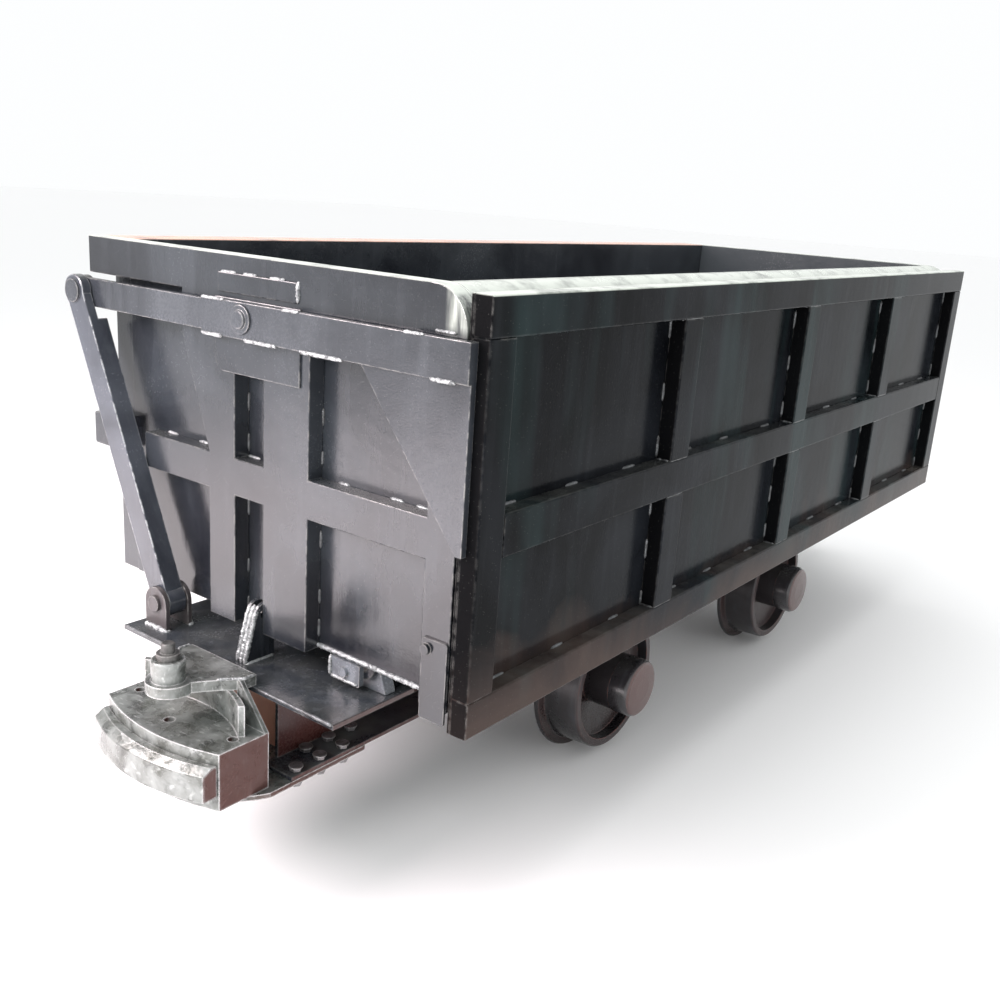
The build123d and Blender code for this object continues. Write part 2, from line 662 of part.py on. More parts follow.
# Bearers across the underside of the floor, shallow beyond the tipping hinge.
BEARER_X = (-1200.0, -800.0, -400.0, 0.0, 400.0, 800.0, 1200.0)
BEARER_WIDE = 60.0
BEARER_SHALLOW_Z = 560.0
BEARER_STEP_Y = (-310.0, -250.0)
BEARER_NEAR = WALL_NEAR + PLATE
with BuildPart() as floor_bearers:
    for x in BEARER_X:
        with BuildSketch(Plane.YZ.offset(x - BEARER_WIDE / 2)):
            with BuildLine():
                Polyline(
                    (BEARER_NEAR, BEARER_Z[1]),
                    (BEARER_NEAR, BEARER_SHALLOW_Z),
                    (BEARER_STEP_Y[0], BEARER_SHALLOW_Z),
                    (BEARER_STEP_Y[1], BEARER_Z[0]),
                    (FAR_WALL_Y[0], BEARER_Z[0]),
                    (FAR_WALL_Y[0], BEARER_Z[1]),
                    close=True,
                )
            make_face()
        extrude(amount=BEARER_WIDE)
save(floor_bearers, "floor_bearers")

# Rails and stakes welded on the far side's sheet.
END_CLEAR = FRAME_X[1]      # the top rail ends at the end frames' back faces
FAR_RAIL_Y = (FAR_WALL_Y[1], FAR_FACE)
MID_RIB_Z = (852.0, 932.0)
RAIL_CHAMFER = 4.0
with BuildPart() as far_rails:
    bar((END_CLEAR, -END_CLEAR), FAR_RAIL_Y, (RIM_BOTTOM, RIM_TOP))
    bar((-HOPPER_HALF, HOPPER_HALF), FAR_RAIL_Y, MID_RIB_Z)
    chamfer(far_rails.edges().filter_by(Axis.X).group_by(Axis.Y)[-1], RAIL_CHAMFER)
save(far_rails, "far_rails")

STAKE_WIDE = 80.0
STAKE_Y = (FAR_WALL_Y[1], 575.0)
STAKE_X = (-1415.0, -732.0, 0.0, 732.0, 1415.0)
with BuildPart() as far_stakes:
    for x in STAKE_X:
        bar((x - STAKE_WIDE / 2, x + STAKE_WIDE / 2), STAKE_Y, (MID_RIB_Z[1], RIM_BOTTOM))
        if x != 0:
            bar((x - STAKE_WIDE / 2, x + STAKE_WIDE / 2), STAKE_Y, (WALL_BOTTOM, MID_RIB_Z[0]))
save(far_stakes, "far_stakes")

# Bent plate that ties the end walls together beside the gate, inside their rounded corners.
TIE_PLATE = 8.0
TIE_NEAR = WALL_NEAR + 4
TIE_R = CORNER_R - 4
TIE_CENTRE = (TIE_NEAR + TIE_R, RIM_TOP - TIE_R)
with BuildPart() as tie_rail:
    with BuildSketch(Plane.YZ.offset(SHEET_X[0])):
        for radius, mode in ((TIE_R, Mode.ADD), (TIE_R - TIE_PLATE, Mode.SUBTRACT)):
            with BuildLine():
                CenterArc(TIE_CENTRE, radius, 90, 90)
                Line((TIE_CENTRE[0] - radius, TIE_CENTRE[1]), TIE_CENTRE)
                Line(TIE_CENTRE, (TIE_CENTRE[0], TIE_CENTRE[1] + radius))
            make_face(mode=mode)
        with Locations((TIE_CENTRE[0] - TIE_PLATE / 2, TIE_CENTRE[1] + TIE_R / 2)):
            Rectangle(TIE_PLATE, TIE_R)
    extrude(amount=SHEET_X[1] - SHEET_X[0])
save(tie_rail, "tie_rail")

# Hinge lugs under the floor at both ends, with the square plate in front of each pair.
LUG_HALF = 34.0
SQUARE_Y = (-292.0, -204.0)
SQUARE_Z = (479.0, WALL_BOTTOM)
SQUARE_X = (-1467.0, SHEET_BACK)
SQUARE_R = 5.0
SQUARE_BOLT = (-248.0, 504.0)
SQUARE_BOLT_R = 11.0
SQUARE_BOLT_HEAD = 8.0
with BuildPart() as hinge_lugs:
    for x in LUG_X:
        with BuildSketch(Plane.YZ.offset(x)):
            with Locations((TIP_AXIS[0], (TIP_AXIS[1] + BEARER_Z[1]) / 2)):
                Rectangle(2 * LUG_HALF, BEARER_Z[1] - TIP_AXIS[1])
            with Locations(TIP_AXIS):
                Circle(LUG_HALF)
                Circle(PIN_R, mode=Mode.SUBTRACT)
        extrude(amount=LUG)
save_pair(hinge_lugs, "hinge_lugs")

TIP_PIN_PROUD = 6.0
with BuildPart() as tip_pin:
    cross_rod((LUG_X[0], LUG_X[1] + LUG + TIP_PIN_PROUD), TIP_AXIS, PIN_R)
save_pair(tip_pin, "tip_pins")

with BuildPart() as hinge_cover:
    bar(SQUARE_X, SQUARE_Y, SQUARE_Z)
    fillet(hinge_cover.edges().filter_by(Axis.X).group_by(Axis.Z)[0], SQUARE_R)
    cross_rod((SQUARE_X[0] - SQUARE_BOLT_HEAD, SQUARE_X[0]), SQUARE_BOLT, SQUARE_BOLT_R)
save_pair(hinge_cover, "hinge_cover_plates")

# Pivot pins of the gate arms, welded in the pivot plates and posts.
ARM_PIN_R = 20.0
ARM_WASHER_R = 31.0
ARM_WASHER = 4.0
ARM_PLAY = 1.0
ARM_PIN_FACE = ARM_FRONT - 11.0
ARM_PIN_CHAMFER = 2.0
with BuildPart() as arm_pin:
    cross_rod((ARM_PIN_FACE, PAD_FACE), ARM_AXIS, ARM_PIN_R)
    cross_rod((ARM_FRONT - ARM_PLAY - ARM_WASHER, ARM_FRONT - ARM_PLAY), ARM_AXIS, ARM_WASHER_R)
    chamfer(arm_pin.faces().sort_by(Axis.X)[0].edges(), ARM_PIN_CHAMFER)
save_pair(arm_pin, "arm_pins")

# Dump roller on the far side: it climbs the curved tipping rail beside the track.
ROLLER_Z = 618.0
ROLLER_R = 130.0
ROLLER_Y = (534.0, 598.0)
ROLLER_PIN_R = 24.0
ROLLER_PLATE_Y = (FAR_WALL_Y[1], 527.0)
ROLLER_PLATE_X = (-95.0, 95.0)
ROLLER_PLATE_Z = (563.0, 818.0)
ROLLER_PLATE_CHAMFER = 20.0
ROLLER_PLATE = ROLLER_PLATE_Y[1] - ROLLER_PLATE_Y[0]
with BuildPart() as roller_bracket:
    bar(ROLLER_PLATE_X, ROLLER_PLATE_Y, ROLLER_PLATE_Z)
    chamfer(roller_bracket.edges().filter_by(Axis.Y), ROLLER_PLATE_CHAMFER)
    rod((0, ROLLER_PLATE_Y[0], ROLLER_Z), (0, 1, 0), ROLLER_PIN_R, ROLLER_PLATE, Mode.SUBTRACT)
save(roller_bracket, "roller_bracket")

ROLLER_PLAY = 2.0
ROLLER_COLLAR_R = 38.0
ROLLER_HEAD = 10.0
PIN_HEAD_Y = ROLLER_Y[1] + ROLLER_PLAY
COLLAR_LENGTH = ROLLER_Y[0] - ROLLER_PLAY - ROLLER_PLATE_Y[1]
with BuildPart() as roller_pin:
    rod((0, ROLLER_PLATE_Y[0], ROLLER_Z), (0, 1, 0), ROLLER_PIN_R, PIN_HEAD_Y - ROLLER_PLATE_Y[0])
    rod((0, PIN_HEAD_Y, ROLLER_Z), (0, 1, 0), ROLLER_COLLAR_R, ROLLER_HEAD)
    rod((0, ROLLER_PLATE_Y[1], ROLLER_Z), (0, 1, 0), ROLLER_COLLAR_R, COLLAR_LENGTH)
save(roller_pin, "roller_pin")

ROLLER_CHAMFER = 5.0
ROLLER_RECESS = 14.0
ROLLER_RING = (46.0, 106.0)     # inner and outer radius of the recess in both faces
ROLLER_BORE = ROLLER_PIN_R + RUNNING
ROLLER_WIDE = ROLLER_Y[1] - ROLLER_Y[0]
with BuildPart() as dump_roller:
    rod((0, ROLLER_Y[0], ROLLER_Z), (0, 1, 0), ROLLER_R, ROLLER_WIDE)
    chamfer(dump_roller.edges().filter_by(GeomType.CIRCLE), ROLLER_CHAMFER)
    for face in (ROLLER_Y[0], ROLLER_Y[1] - ROLLER_RECESS):
        with BuildSketch(Plane.XZ.offset(-face)):
            with Locations((0, ROLLER_Z)):
                Circle(ROLLER_RING[1])
                Circle(ROLLER_RING[0], mode=Mode.SUBTRACT)
        extrude(amount=-ROLLER_RECESS, mode=Mode.SUBTRACT)
    rod((0, ROLLER_Y[0], ROLLER_Z), (0, 1, 0), ROLLER_BORE, ROLLER_WIDE, Mode.SUBTRACT)
save(dump_roller, "dump_roller")

# ============================================================================================
# Gate, arms and links
# ============================================================================================
GATE_Z = (490.0, 1349.0)
GATE_FRAME_Y = (GATE_FACE, -572.5)
GATE_SHEET_Y = (-572.5, -564.5)
GATE_RAIL = 78.0
GATE_MID_Z = (848.0, 938.0)
GATE_END_POST = 80.0
GATE_POST = 88.0
GATE_POST_X = (-732.0, 0.0, 732.0)
GATE_X = (-HOPPER_HALF, HOPPER_HALF)

with BuildPart() as gate_sheet:
    bar(GATE_X, GATE_SHEET_Y, GATE_Z)
save(gate_sheet, "gate_sheet")

with BuildPart() as gate_rails:
    for inset, height in (
        (0.0, (GATE_Z[1] - GATE_RAIL, GATE_Z[1])),
        (GATE_END_POST, GATE_MID_Z),
        (0.0, (GATE_Z[0], GATE_Z[0] + GATE_RAIL)),
    ):
        bar((GATE_X[0] + inset, GATE_X[1] - inset), GATE_FRAME_Y, height)
    fillet(gate_rails.edges().filter_by(Axis.X).group_by(Axis.Y)[0], 5)
save(gate_rails, "gate_rails")

with BuildPart() as gate_posts:
    spans = [(x - GATE_POST / 2, x + GATE_POST / 2) for x in GATE_POST_X]
    bays = ((GATE_Z[0] + GATE_RAIL, GATE_MID_Z[0]), (GATE_MID_Z[1], GATE_Z[1] - GATE_RAIL))
    for low, high in bays:
        for span in spans:
            bar(span, GATE_FRAME_Y, (low, high))
    for span in ((GATE_X[0], GATE_X[0] + GATE_END_POST), (GATE_X[1] - GATE_END_POST, GATE_X[1])):
        bar(span, GATE_FRAME_Y, (bays[0][0], bays[1][1]))
    fillet(gate_posts.edges().filter_by(Axis.Z).group_by(Axis.Y)[0], 5)
save(gate_posts, "gate_posts")

# Arm from the link to the gate's end, with the triangular gusset under its gate end.
ARM_Z = (1195.0, 1261.0)
ARM_BOX_Z = (1188.0, 1265.0)
ARM_BOX_FAR = 158.0
ARM_NEAR = -588.0
ARM_EYE_R = 36.0
GUSSET_X = (-1516.0, ARM_BACK)
GUSSET_CORNERS = ((-314.0, ARM_BOX_Z[0]), (ARM_NEAR, ARM_BOX_Z[0]), (ARM_NEAR, 863.0), (-572.0, 863.0))
GATE_PACK_Y = (ARM_NEAR, GATE_SHEET_Y[1] - 2.0)
with BuildPart() as gate_arm:
    with BuildSketch(Plane.YZ.offset(ARM_FRONT)):
        with Locations(((ARM_NEAR + LINK_HEAD[0]) / 2, (ARM_Z[0] + ARM_Z[1]) / 2)):
            Rectangle(LINK_HEAD[0] - ARM_NEAR, ARM_Z[1] - ARM_Z[0])
        with Locations(((ARM_NEAR + ARM_BOX_FAR) / 2, (ARM_BOX_Z[0] + ARM_BOX_Z[1]) / 2)):
            Rectangle(ARM_BOX_FAR - ARM_NEAR, ARM_BOX_Z[1] - ARM_BOX_Z[0])
        with Locations(LINK_HEAD):
            Circle(ARM_EYE_R)
            Circle(PIN_R + OPEN_PIVOT, mode=Mode.SUBTRACT)
        with Locations(ARM_AXIS):
            Circle(ARM_PIN_R + RUNNING, mode=Mode.SUBTRACT)
    extrude(amount=ARM_BACK - ARM_FRONT)
    with BuildSketch(Plane.YZ.offset(GUSSET_X[0])):
        with BuildLine():
            Polyline(*GUSSET_CORNERS, close=True)
        make_face()
    extrude(amount=GUSSET_X[1] - GUSSET_X[0])
    bar((ARM_BACK, -HOPPER_HALF), GATE_PACK_Y, (GUSSET_CORNERS[2][1], ARM_BOX_Z[1]))
save_both_ends(gate_arm, "gate_arm")

LINK_WIDE = 66.0
LINK_EYE_R = 38.0
LINK_CHEEK = (LINK_FRONT, ARM_FRONT - 2.0)      # the head is halved where it laps over the arm
LAP_REACH = 80.0
LAP_LENGTH = 130.0
LINK_MID = ((LINK_HEAD[0] + LINK_FOOT[0]) / 2, (LINK_HEAD[1] + LINK_FOOT[1]) / 2)
LINK_LEAN = math.atan2(LINK_HEAD[1] - LINK_FOOT[1], LINK_HEAD[0] - LINK_FOOT[0])
LINK_LENGTH = math.dist(LINK_HEAD, LINK_FOOT)
with BuildPart() as link:
    with BuildSketch(Plane.YZ.offset(LINK_FRONT)):
        with Locations(LINK_MID):
            Rectangle(LINK_LENGTH, LINK_WIDE, rotation=math.degrees(LINK_LEAN))
        with Locations(LINK_HEAD, LINK_FOOT):
            Circle(LINK_EYE_R)
        with Locations(LINK_HEAD):
            Circle(PIN_R, mode=Mode.SUBTRACT)
        with Locations(LINK_FOOT):
            Circle(PIN_R + RUNNING, mode=Mode.SUBTRACT)
    extrude(amount=LINK_BACK - LINK_FRONT)
    with BuildSketch(Plane.YZ.offset(LINK_CHEEK[1])):
        with Locations(LINK_HEAD):
            Rectangle(LAP_LENGTH, 2 * LAP_REACH, rotation=math.degrees(LINK_LEAN) - 90)
    extrude(amount=LINK_BACK - LINK_CHEEK[1], mode=Mode.SUBTRACT)
save_both_ends(link, "link")

HEAD_WASHER = 6.0
HEAD_WASHER_R = 27.0
SPACER_R = 26.0
SPACER_X = (LINK_CHEEK[1], ARM_FRONT - ARM_PLAY)
with BuildPart() as link_head_pin:
    cross_rod((LINK_FRONT - HEAD_WASHER, ARM_BACK), LINK_HEAD, PIN_R)
    cross_rod((LINK_FRONT - HEAD_WASHER, LINK_FRONT), LINK_HEAD, HEAD_WASHER_R)
    cross_rod(SPACER_X, LINK_HEAD, SPACER_R)
save_both_ends(link_head_pin, "link_head_pin")
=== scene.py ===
import math
import random

import bmesh
import bpy
from mathutils import Matrix, Vector


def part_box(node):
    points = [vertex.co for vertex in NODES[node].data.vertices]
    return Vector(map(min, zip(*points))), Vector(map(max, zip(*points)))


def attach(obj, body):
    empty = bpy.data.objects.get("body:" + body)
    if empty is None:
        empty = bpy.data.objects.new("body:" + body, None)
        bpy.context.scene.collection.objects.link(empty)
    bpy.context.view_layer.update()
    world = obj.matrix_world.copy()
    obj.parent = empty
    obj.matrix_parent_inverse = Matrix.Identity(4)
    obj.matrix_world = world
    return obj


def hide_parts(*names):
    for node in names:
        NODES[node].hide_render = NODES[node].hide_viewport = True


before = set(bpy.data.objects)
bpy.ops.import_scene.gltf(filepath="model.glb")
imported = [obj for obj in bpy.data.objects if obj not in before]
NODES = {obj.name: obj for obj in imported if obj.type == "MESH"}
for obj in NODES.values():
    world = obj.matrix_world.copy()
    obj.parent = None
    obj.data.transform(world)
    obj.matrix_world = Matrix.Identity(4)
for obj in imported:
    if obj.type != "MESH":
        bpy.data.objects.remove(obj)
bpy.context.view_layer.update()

# Side-dump mine car, in metres, in the CAD frame: X along the track with "front" at -X, the
# swinging gate at -Y, Z up from the bottoms of the wheel flanges, which stand on the floor.

# --- The photograph's camera ----------------------------------------------------------------
CAMERA_AT = Vector((-2.971, -1.743, 1.517))
CAMERA_AZIMUTH = -53.56
CAMERA_DOWN = 16.05
CAMERA_ROLL = 4.0
SENSOR = 36.0
LENS = 38.24
FAR_CLIP = 200

# --- Colours, linear RGB --------------------------------------------------------------------
CHARCOAL = (0.016, 0.018, 0.021)
SLATE = (0.040, 0.047, 0.056)
PALE_SLATE = (0.105, 0.115, 0.130)
OXIDE = (0.085, 0.026, 0.020)
TEAL = (0.030, 0.055, 0.056)
BARE_STEEL = (0.46, 0.45, 0.43)
DUST = (0.20, 0.205, 0.185)
BLUE_BLACK = (0.016, 0.019, 0.023)
CLAY = (0.085, 0.060, 0.052)
# Pale green-grey: a painted highlight on the rim tops, and wear on the rim's rubbed corners.
PALE_HIGHLIGHT_AND_WEAR = (0.60, 0.64, 0.58)
# Orange-pink painted reflection on the far rim's tops.
PAINTED_ORANGE_REFLECTION = (0.78, 0.42, 0.30)
# Black painted shade on faces turned along X.
PAINTED_END_SHADE = (0.002, 0.002, 0.0025)
# Near-white of worn edges, with a painted highlight on them.
PALE_EDGE_WEAR_AND_HIGHLIGHT = (0.78, 0.78, 0.78)
PINKISH = (1.0, 0.86, 0.89)
WARM_WHITE = (1.0, 0.98, 0.98)
SKY = (0.985, 0.995, 1.0, 1)
FLOOR_WHITE = (0.97, 0.97, 0.97, 1)


# --- Camera, lights and floor ---------------------------------------------------------------
FLOOR_REACH = 60
FLOOR_ROUGHNESS = 0.7


def look_from(position, azimuth, down, roll):
    """Matrix that places a camera and turns it to an azimuth, tilted down and rolled."""
    a, e, t = (math.radians(v) for v in (azimuth, down, roll))
    back = Vector((math.sin(a) * math.cos(e), -math.cos(a) * math.cos(e), math.sin(e)))
    right = Vector((0, 0, 1)).cross(back).normalized()
    up = back.cross(right)
    right, up = math.cos(t) * right + math.sin(t) * up, math.cos(t) * up - math.sin(t) * right
    turned = Matrix((right, up, back)).transposed().to_4x4()
    return Matrix.Translation(position) @ turned


def make_camera():
    data = bpy.data.cameras.new("camera")
    data.sensor_width = SENSOR
    data.lens = LENS
    data.clip_end = FAR_CLIP
    camera = bpy.data.objects.new("camera", data)
    camera.matrix_world = look_from(CAMERA_AT, CAMERA_AZIMUTH, CAMERA_DOWN, CAMERA_ROLL)
    bpy.context.scene.collection.objects.link(camera)
    bpy.context.scene.camera = camera


def softbox(name, position, target, size, power, colour=(1, 1, 1)):
    """Rectangular area light at position, facing target."""
    data = bpy.data.lights.new(name, "AREA")
    data.shape = "RECTANGLE"
    data.size, data.size_y = size
    data.energy = power
    data.color = colour
    lamp = bpy.data.objects.new(name, data)
    facing = Vector(target) - Vector(position)
    lamp.rotation_mode = "QUATERNION"
    lamp.rotation_quaternion = facing.to_track_quat("-Z", "Y")
    lamp.location = position
    bpy.context.scene.collection.objects.link(lamp)


def make_studio():
    scene = bpy.context.scene
    scene.view_settings.view_transform = "Standard"
    world = bpy.data.worlds.new("studio")
    world.use_nodes = True
    sky = world.node_tree.nodes["Background"]
    sky.inputs["Color"].default_value = SKY
    sky.inputs["Strength"].default_value = 1.0
    scene.world = world

    # The end wall mirrors the floor in front of it, so that floor is lit hard from above.
    softbox("floor_glow", (-3.9, 1.5, 2.3), (-3.9, 1.3, 0), (2.4, 2.0), 225, PINKISH)
    softbox("key", (-5.0, -0.4, 2.6), (-1.6, 0.1, 0.4), (1.6, 1.6), 70, WARM_WHITE)
    softbox("top", (0, 0.4, 5.2), (0, 0, 0), (6.0, 4.0), 110)

    make_floor()


def make_floor():
    """Plain pale floor at the height of the wheel flanges' bottoms."""
    r = FLOOR_REACH
    mesh = bpy.data.meshes.new("floor")
    mesh.from_pydata([(-r, -r, 0), (r, -r, 0), (r, r, 0), (-r, r, 0)], [], [(0, 1, 2, 3)])
    floor = bpy.data.objects.new("floor", mesh)
    bpy.context.scene.collection.objects.link(floor)
    material = bpy.data.materials.new("floor")
    material.use_nodes = True
    shader = material.node_tree.nodes["Principled BSDF"]
    shader.inputs["Base Color"].default_value = FLOOR_WHITE
    shader.inputs["Roughness"].default_value = FLOOR_ROUGHNESS
    mesh.materials.append(material)


# --- Materials ------------------------------------------------------------------------------
NOISE_ROUGHNESS = 0.55


class Graph:
    """One material's node tree, with a short call for each kind of node used here."""

    def __init__(self, name):
        self.material = bpy.data.materials.new(name)
        self.material.use_nodes = True
        self.tree = self.material.node_tree
        self.shader = self.tree.nodes["Principled BSDF"]
        self.place = self.node("ShaderNodeTexCoord").outputs["Object"]
        self.normal = self.node("ShaderNodeNewGeometry").outputs["Normal"]

    def node(self, kind, **settings):
        made = self.tree.nodes.new(kind)
        for key, value in settings.items():
            setattr(made, key, value)
        return made

    def put(self, value, socket):
        """Link an output to a socket, or set the socket to a number or colour."""
        if isinstance(value, bpy.types.NodeSocket):
            self.tree.links.new(value, socket)
        elif isinstance(value, tuple) and len(value) == 3 and socket.type == "RGBA":
            socket.default_value = (*value, 1)
        else:
            socket.default_value = value

    def noise(self, scale, detail, stretch=None, twist=0.0):
        """Noise from 0 to 1. stretch scales the three axes, so that streaks run along one."""
        where = self.place
        if stretch:
            spread = self.node("ShaderNodeMapping")
            self.put(where, spread.inputs["Vector"])
            spread.inputs["Scale"].default_value = stretch
            where = spread.outputs["Vector"]
        made = self.node("ShaderNodeTexNoise")
        self.put(where, made.inputs["Vector"])
        made.inputs["Scale"].default_value = scale
        made.inputs["Detail"].default_value = detail
        made.inputs["Roughness"].default_value = NOISE_ROUGHNESS
        made.inputs["Distortion"].default_value = twist
        return made.outputs["Fac"]

    def cells(self, scale):
        """Distance to the nearest of many scattered points."""
        made = self.node("ShaderNodeTexVoronoi")
        self.put(self.place, made.inputs["Vector"])
        made.inputs["Scale"].default_value = scale
        return made.outputs["Distance"]

    def spread(self, value, low, high, out_low=0.0, out_high=1.0):
        """Map low..high to out_low..out_high, clamped."""
        made = self.node("ShaderNodeMapRange", clamp=True)
        self.put(value, made.inputs["Value"])
        made.inputs["From Min"].default_value = low
        made.inputs["From Max"].default_value = high
        made.inputs["To Min"].default_value = out_low
        made.inputs["To Max"].default_value = out_high
        return made.outputs["Result"]

    def maths(self, operation, a, b=0.0, clamp=False):
        made = self.node("ShaderNodeMath", operation=operation, use_clamp=clamp)
        self.put(a, made.inputs[0])
        self.put(b, made.inputs[1])
        return made.outputs[0]

    def product(self, *values):
        """Multiply two or more values."""
        result = values[0]
        for value in values[1:]:
            result = self.maths("MULTIPLY", result, value)
        return result

    def mix(self, factor, a, b):
        """Colour between a and b."""
        made = self.node("ShaderNodeMix", data_type="RGBA")
        self.put(factor, made.inputs["Factor"])
        self.put(a, made.inputs["A"])
        self.put(b, made.inputs["B"])
        return made.outputs["Result"]

    def axis(self, vector, letter):
        """One of a vector's three values."""
        made = self.node("ShaderNodeSeparateXYZ")
        self.put(vector, made.inputs[0])
        return made.outputs[letter]

    def bump(self, height, distance, strength, under=None):
        """Normal bent by a height map, on top of another bent normal if one is given."""
        made = self.node("ShaderNodeBump")
        self.put(height, made.inputs["Height"])
        made.inputs["Distance"].default_value = distance
        made.inputs["Strength"].default_value = strength
        if under is not None:
            self.put(under, made.inputs["Normal"])
        return made.outputs["Normal"]

    def edges(self, radius):
        """0 on flat faces, rising to 1 on the edges of the shape."""
        rounded = self.node("ShaderNodeBevel", samples=4)
        rounded.inputs["Radius"].default_value = radius
        dot = self.node("ShaderNodeVectorMath", operation="DOT_PRODUCT")
        self.put(rounded.outputs["Normal"], dot.inputs[0])
        self.put(self.normal, dot.inputs[1])
        return self.spread(dot.outputs["Value"], 0.995, 0.90)


# Layers of the enamel. Each takes the colour so far and gives the colour with its layer on.
def teal_bands(g, colour, amount):
    """Upright blue-green bands, as of reflections in wavy plate."""
    sweep = g.spread(g.noise(1.0, 2, stretch=(5.5, 5.5, 0.8), twist=0.3), 0.50, 0.68)
    return g.mix(g.product(sweep, amount), colour, TEAL)


def low_tint(g, colour, clouds, tint, heights):
    """Tint that fades out between two heights, with a wandering upper edge."""
    low, high = heights
    wander = g.product(g.maths("SUBTRACT", clouds, 0.5), 0.5)
    depth = g.spread(g.maths("ADD", g.axis(g.place, "Z"), wander), high, low)
    return g.mix(g.product(depth, 0.75), colour, tint)


def red_sides(g, colour, amount, below):
    """Red oxide showing on faces turned to +Y or -Y, up to a height."""
    facing = g.spread(g.maths("ABSOLUTE", g.axis(g.normal, "Y")), 0.5, 0.9)
    patchy = g.spread(g.noise(5, 4), 0.3, 0.6, 0.55, 1)
    low_down = g.spread(g.axis(g.place, "Z"), below + 0.01, below - 0.01)
    return g.mix(g.product(facing, amount, patchy, low_down), colour, OXIDE)


def pale_inside(g, colour, pale):
    """Paler colour on end faces turned to the middle of the hopper."""
    inward = g.product(g.axis(g.normal, "X"), g.axis(g.place, "X"))
    return g.mix(g.spread(inward, -0.8, -1.2, 0, 0.85), colour, pale)


def rubbed_corners(g, colour, amount):
    """The rim's rounded corners beside the gate, ground bright in upright strokes."""
    beside_gate = g.spread(g.axis(g.place, "Y"), -0.505, -0.525)
    at_rim = g.spread(g.axis(g.place, "Z"), 1.262, 1.285)
    strokes = g.spread(g.noise(1.0, 4, stretch=(80, 80, 9)), 0.34, 0.62, 0.15, 1)
    return g.mix(g.product(beside_gate, at_rim, strokes, amount), colour, PALE_HIGHLIGHT_AND_WEAR)


def painted_rim_highlight(g, colour, crest, height):
    """Painted highlight on upward faces above a height, in patches."""
    high_up = g.spread(g.axis(g.place, "Z"), height - 0.004, height + 0.004)
    upward = g.spread(g.axis(g.normal, "Z"), 0.25, 0.6)
    patchy = g.spread(g.noise(14, 5), 0.30, 0.52, 0.35, 1)
    return g.mix(g.product(high_up, upward, patchy), colour, crest)


def settled_dust(g, amount):
    """Share of dust on upward faces."""
    facing_up = g.spread(g.axis(g.normal, "Z"), 0.55, 0.95)
    settled = g.spread(g.noise(11, 6, twist=0.4), 0.38, 0.72)
    return g.product(facing_up, settled, amount)


def enamel(
    name,
    deep=CHARCOAL,
    pale=SLATE,
    rough=(0.10, 0.24),
    waves=0.0012,
    cloud_scale=2.4,
    gloss=0.45,
    streaks=0.35,
    bands=0.0,
    tint=None,
    tint_height=None,
    tint_sides=0.0,
    side_below=9.0,
    dark_ends=0.0,
    inside=None,
    rubbed=0.0,
    crest=None,
    crest_height=1.34,
    dust=0.35,
    edge_wear_and_highlight=0.5,
    edge_wear_and_highlight_colour=BARE_STEEL,
):
    """Black gloss enamel over welded plate: clouds, runs, specks, dust on top and worn edges.

    tint colours the part below tint_height. tint_sides reddens faces turned to +Y or -Y below
    side_below, dark_ends blackens faces turned along X as painted shade, inside colours end
    faces turned to the hopper's middle, rubbed grinds the rim's rounded corners bright, and
    crest paints a highlight on upward faces above crest_height. The worn edges take the edge
    colour, which where it is near white is a painted highlight as well as wear.
    """
    g = Graph(name)
    clouds = g.noise(cloud_scale, 5, twist=0.7)
    specks = g.noise(160, 2)
    runs = g.noise(1.0, 3, stretch=(34, 34, 2.2))
    colour = g.mix(g.spread(clouds, 0.36, 0.66), deep, pale)
    colour = g.mix(g.product(g.spread(runs, 0.52, 0.74), streaks), colour, PALE_SLATE)
    if bands:
        colour = teal_bands(g, colour, bands)
    if tint:
        colour = low_tint(g, colour, clouds, tint, tint_height)
    if tint_sides:
        colour = red_sides(g, colour, tint_sides, side_below)
    # Painted shade: faces turned along X are blackened, and made rougher further down.
    if dark_ends:
        end_shade_mask = g.spread(g.maths("ABSOLUTE", g.axis(g.normal, "X")), 0.8, 0.95, 0, dark_ends)
        colour = g.mix(end_shade_mask, colour, PAINTED_END_SHADE)
    if inside:
        colour = pale_inside(g, colour, inside)
    if rubbed:
        colour = rubbed_corners(g, colour, rubbed)
    dusty = settled_dust(g, dust)
    colour = g.mix(dusty, colour, DUST)
    # Painted highlight on the rim tops.
    if crest:
        colour = painted_rim_highlight(g, colour, crest, crest_height)
    # Edges: worn paint, and where the edge colour is near white, a painted highlight too.
    chips = g.spread(g.noise(46, 5), 0.42, 0.58)
    worn_and_highlit_edges = g.product(g.edges(0.004), chips, edge_wear_and_highlight)
    colour = g.mix(worn_and_highlit_edges, colour, edge_wear_and_highlight_colour)
    flecks = g.spread(g.cells(120), 0.11, 0.05)
    colour = g.mix(g.product(flecks, 0.4), colour, DUST)
    g.put(colour, g.shader.inputs["Base Color"])

    roughness = g.spread(clouds, 0.3, 0.7, *rough)
    roughness = g.maths("ADD", roughness, g.spread(specks, 0.35, 0.75, 0.0, 0.10))
    roughness = g.maths("ADD", roughness, g.product(dusty, 0.35), clamp=True)
    if dark_ends:
        roughness = g.maths("ADD", roughness, g.product(end_shade_mask, 0.6), clamp=True)
    g.put(roughness, g.shader.inputs["Roughness"])
    g.put(g.product(worn_and_highlit_edges, 0.8), g.shader.inputs["Metallic"])
    g.shader.inputs["Specular IOR Level"].default_value = gloss

    sheet = g.bump(g.noise(4.2, 3, twist=0.5), waves * 8, 0.35)
    peel = g.bump(g.noise(240, 2), 0.0006, 0.35, sheet)
    g.put(g.bump(runs, 0.0012, 0.25, peel), g.shader.inputs["Normal"])
    return g.material


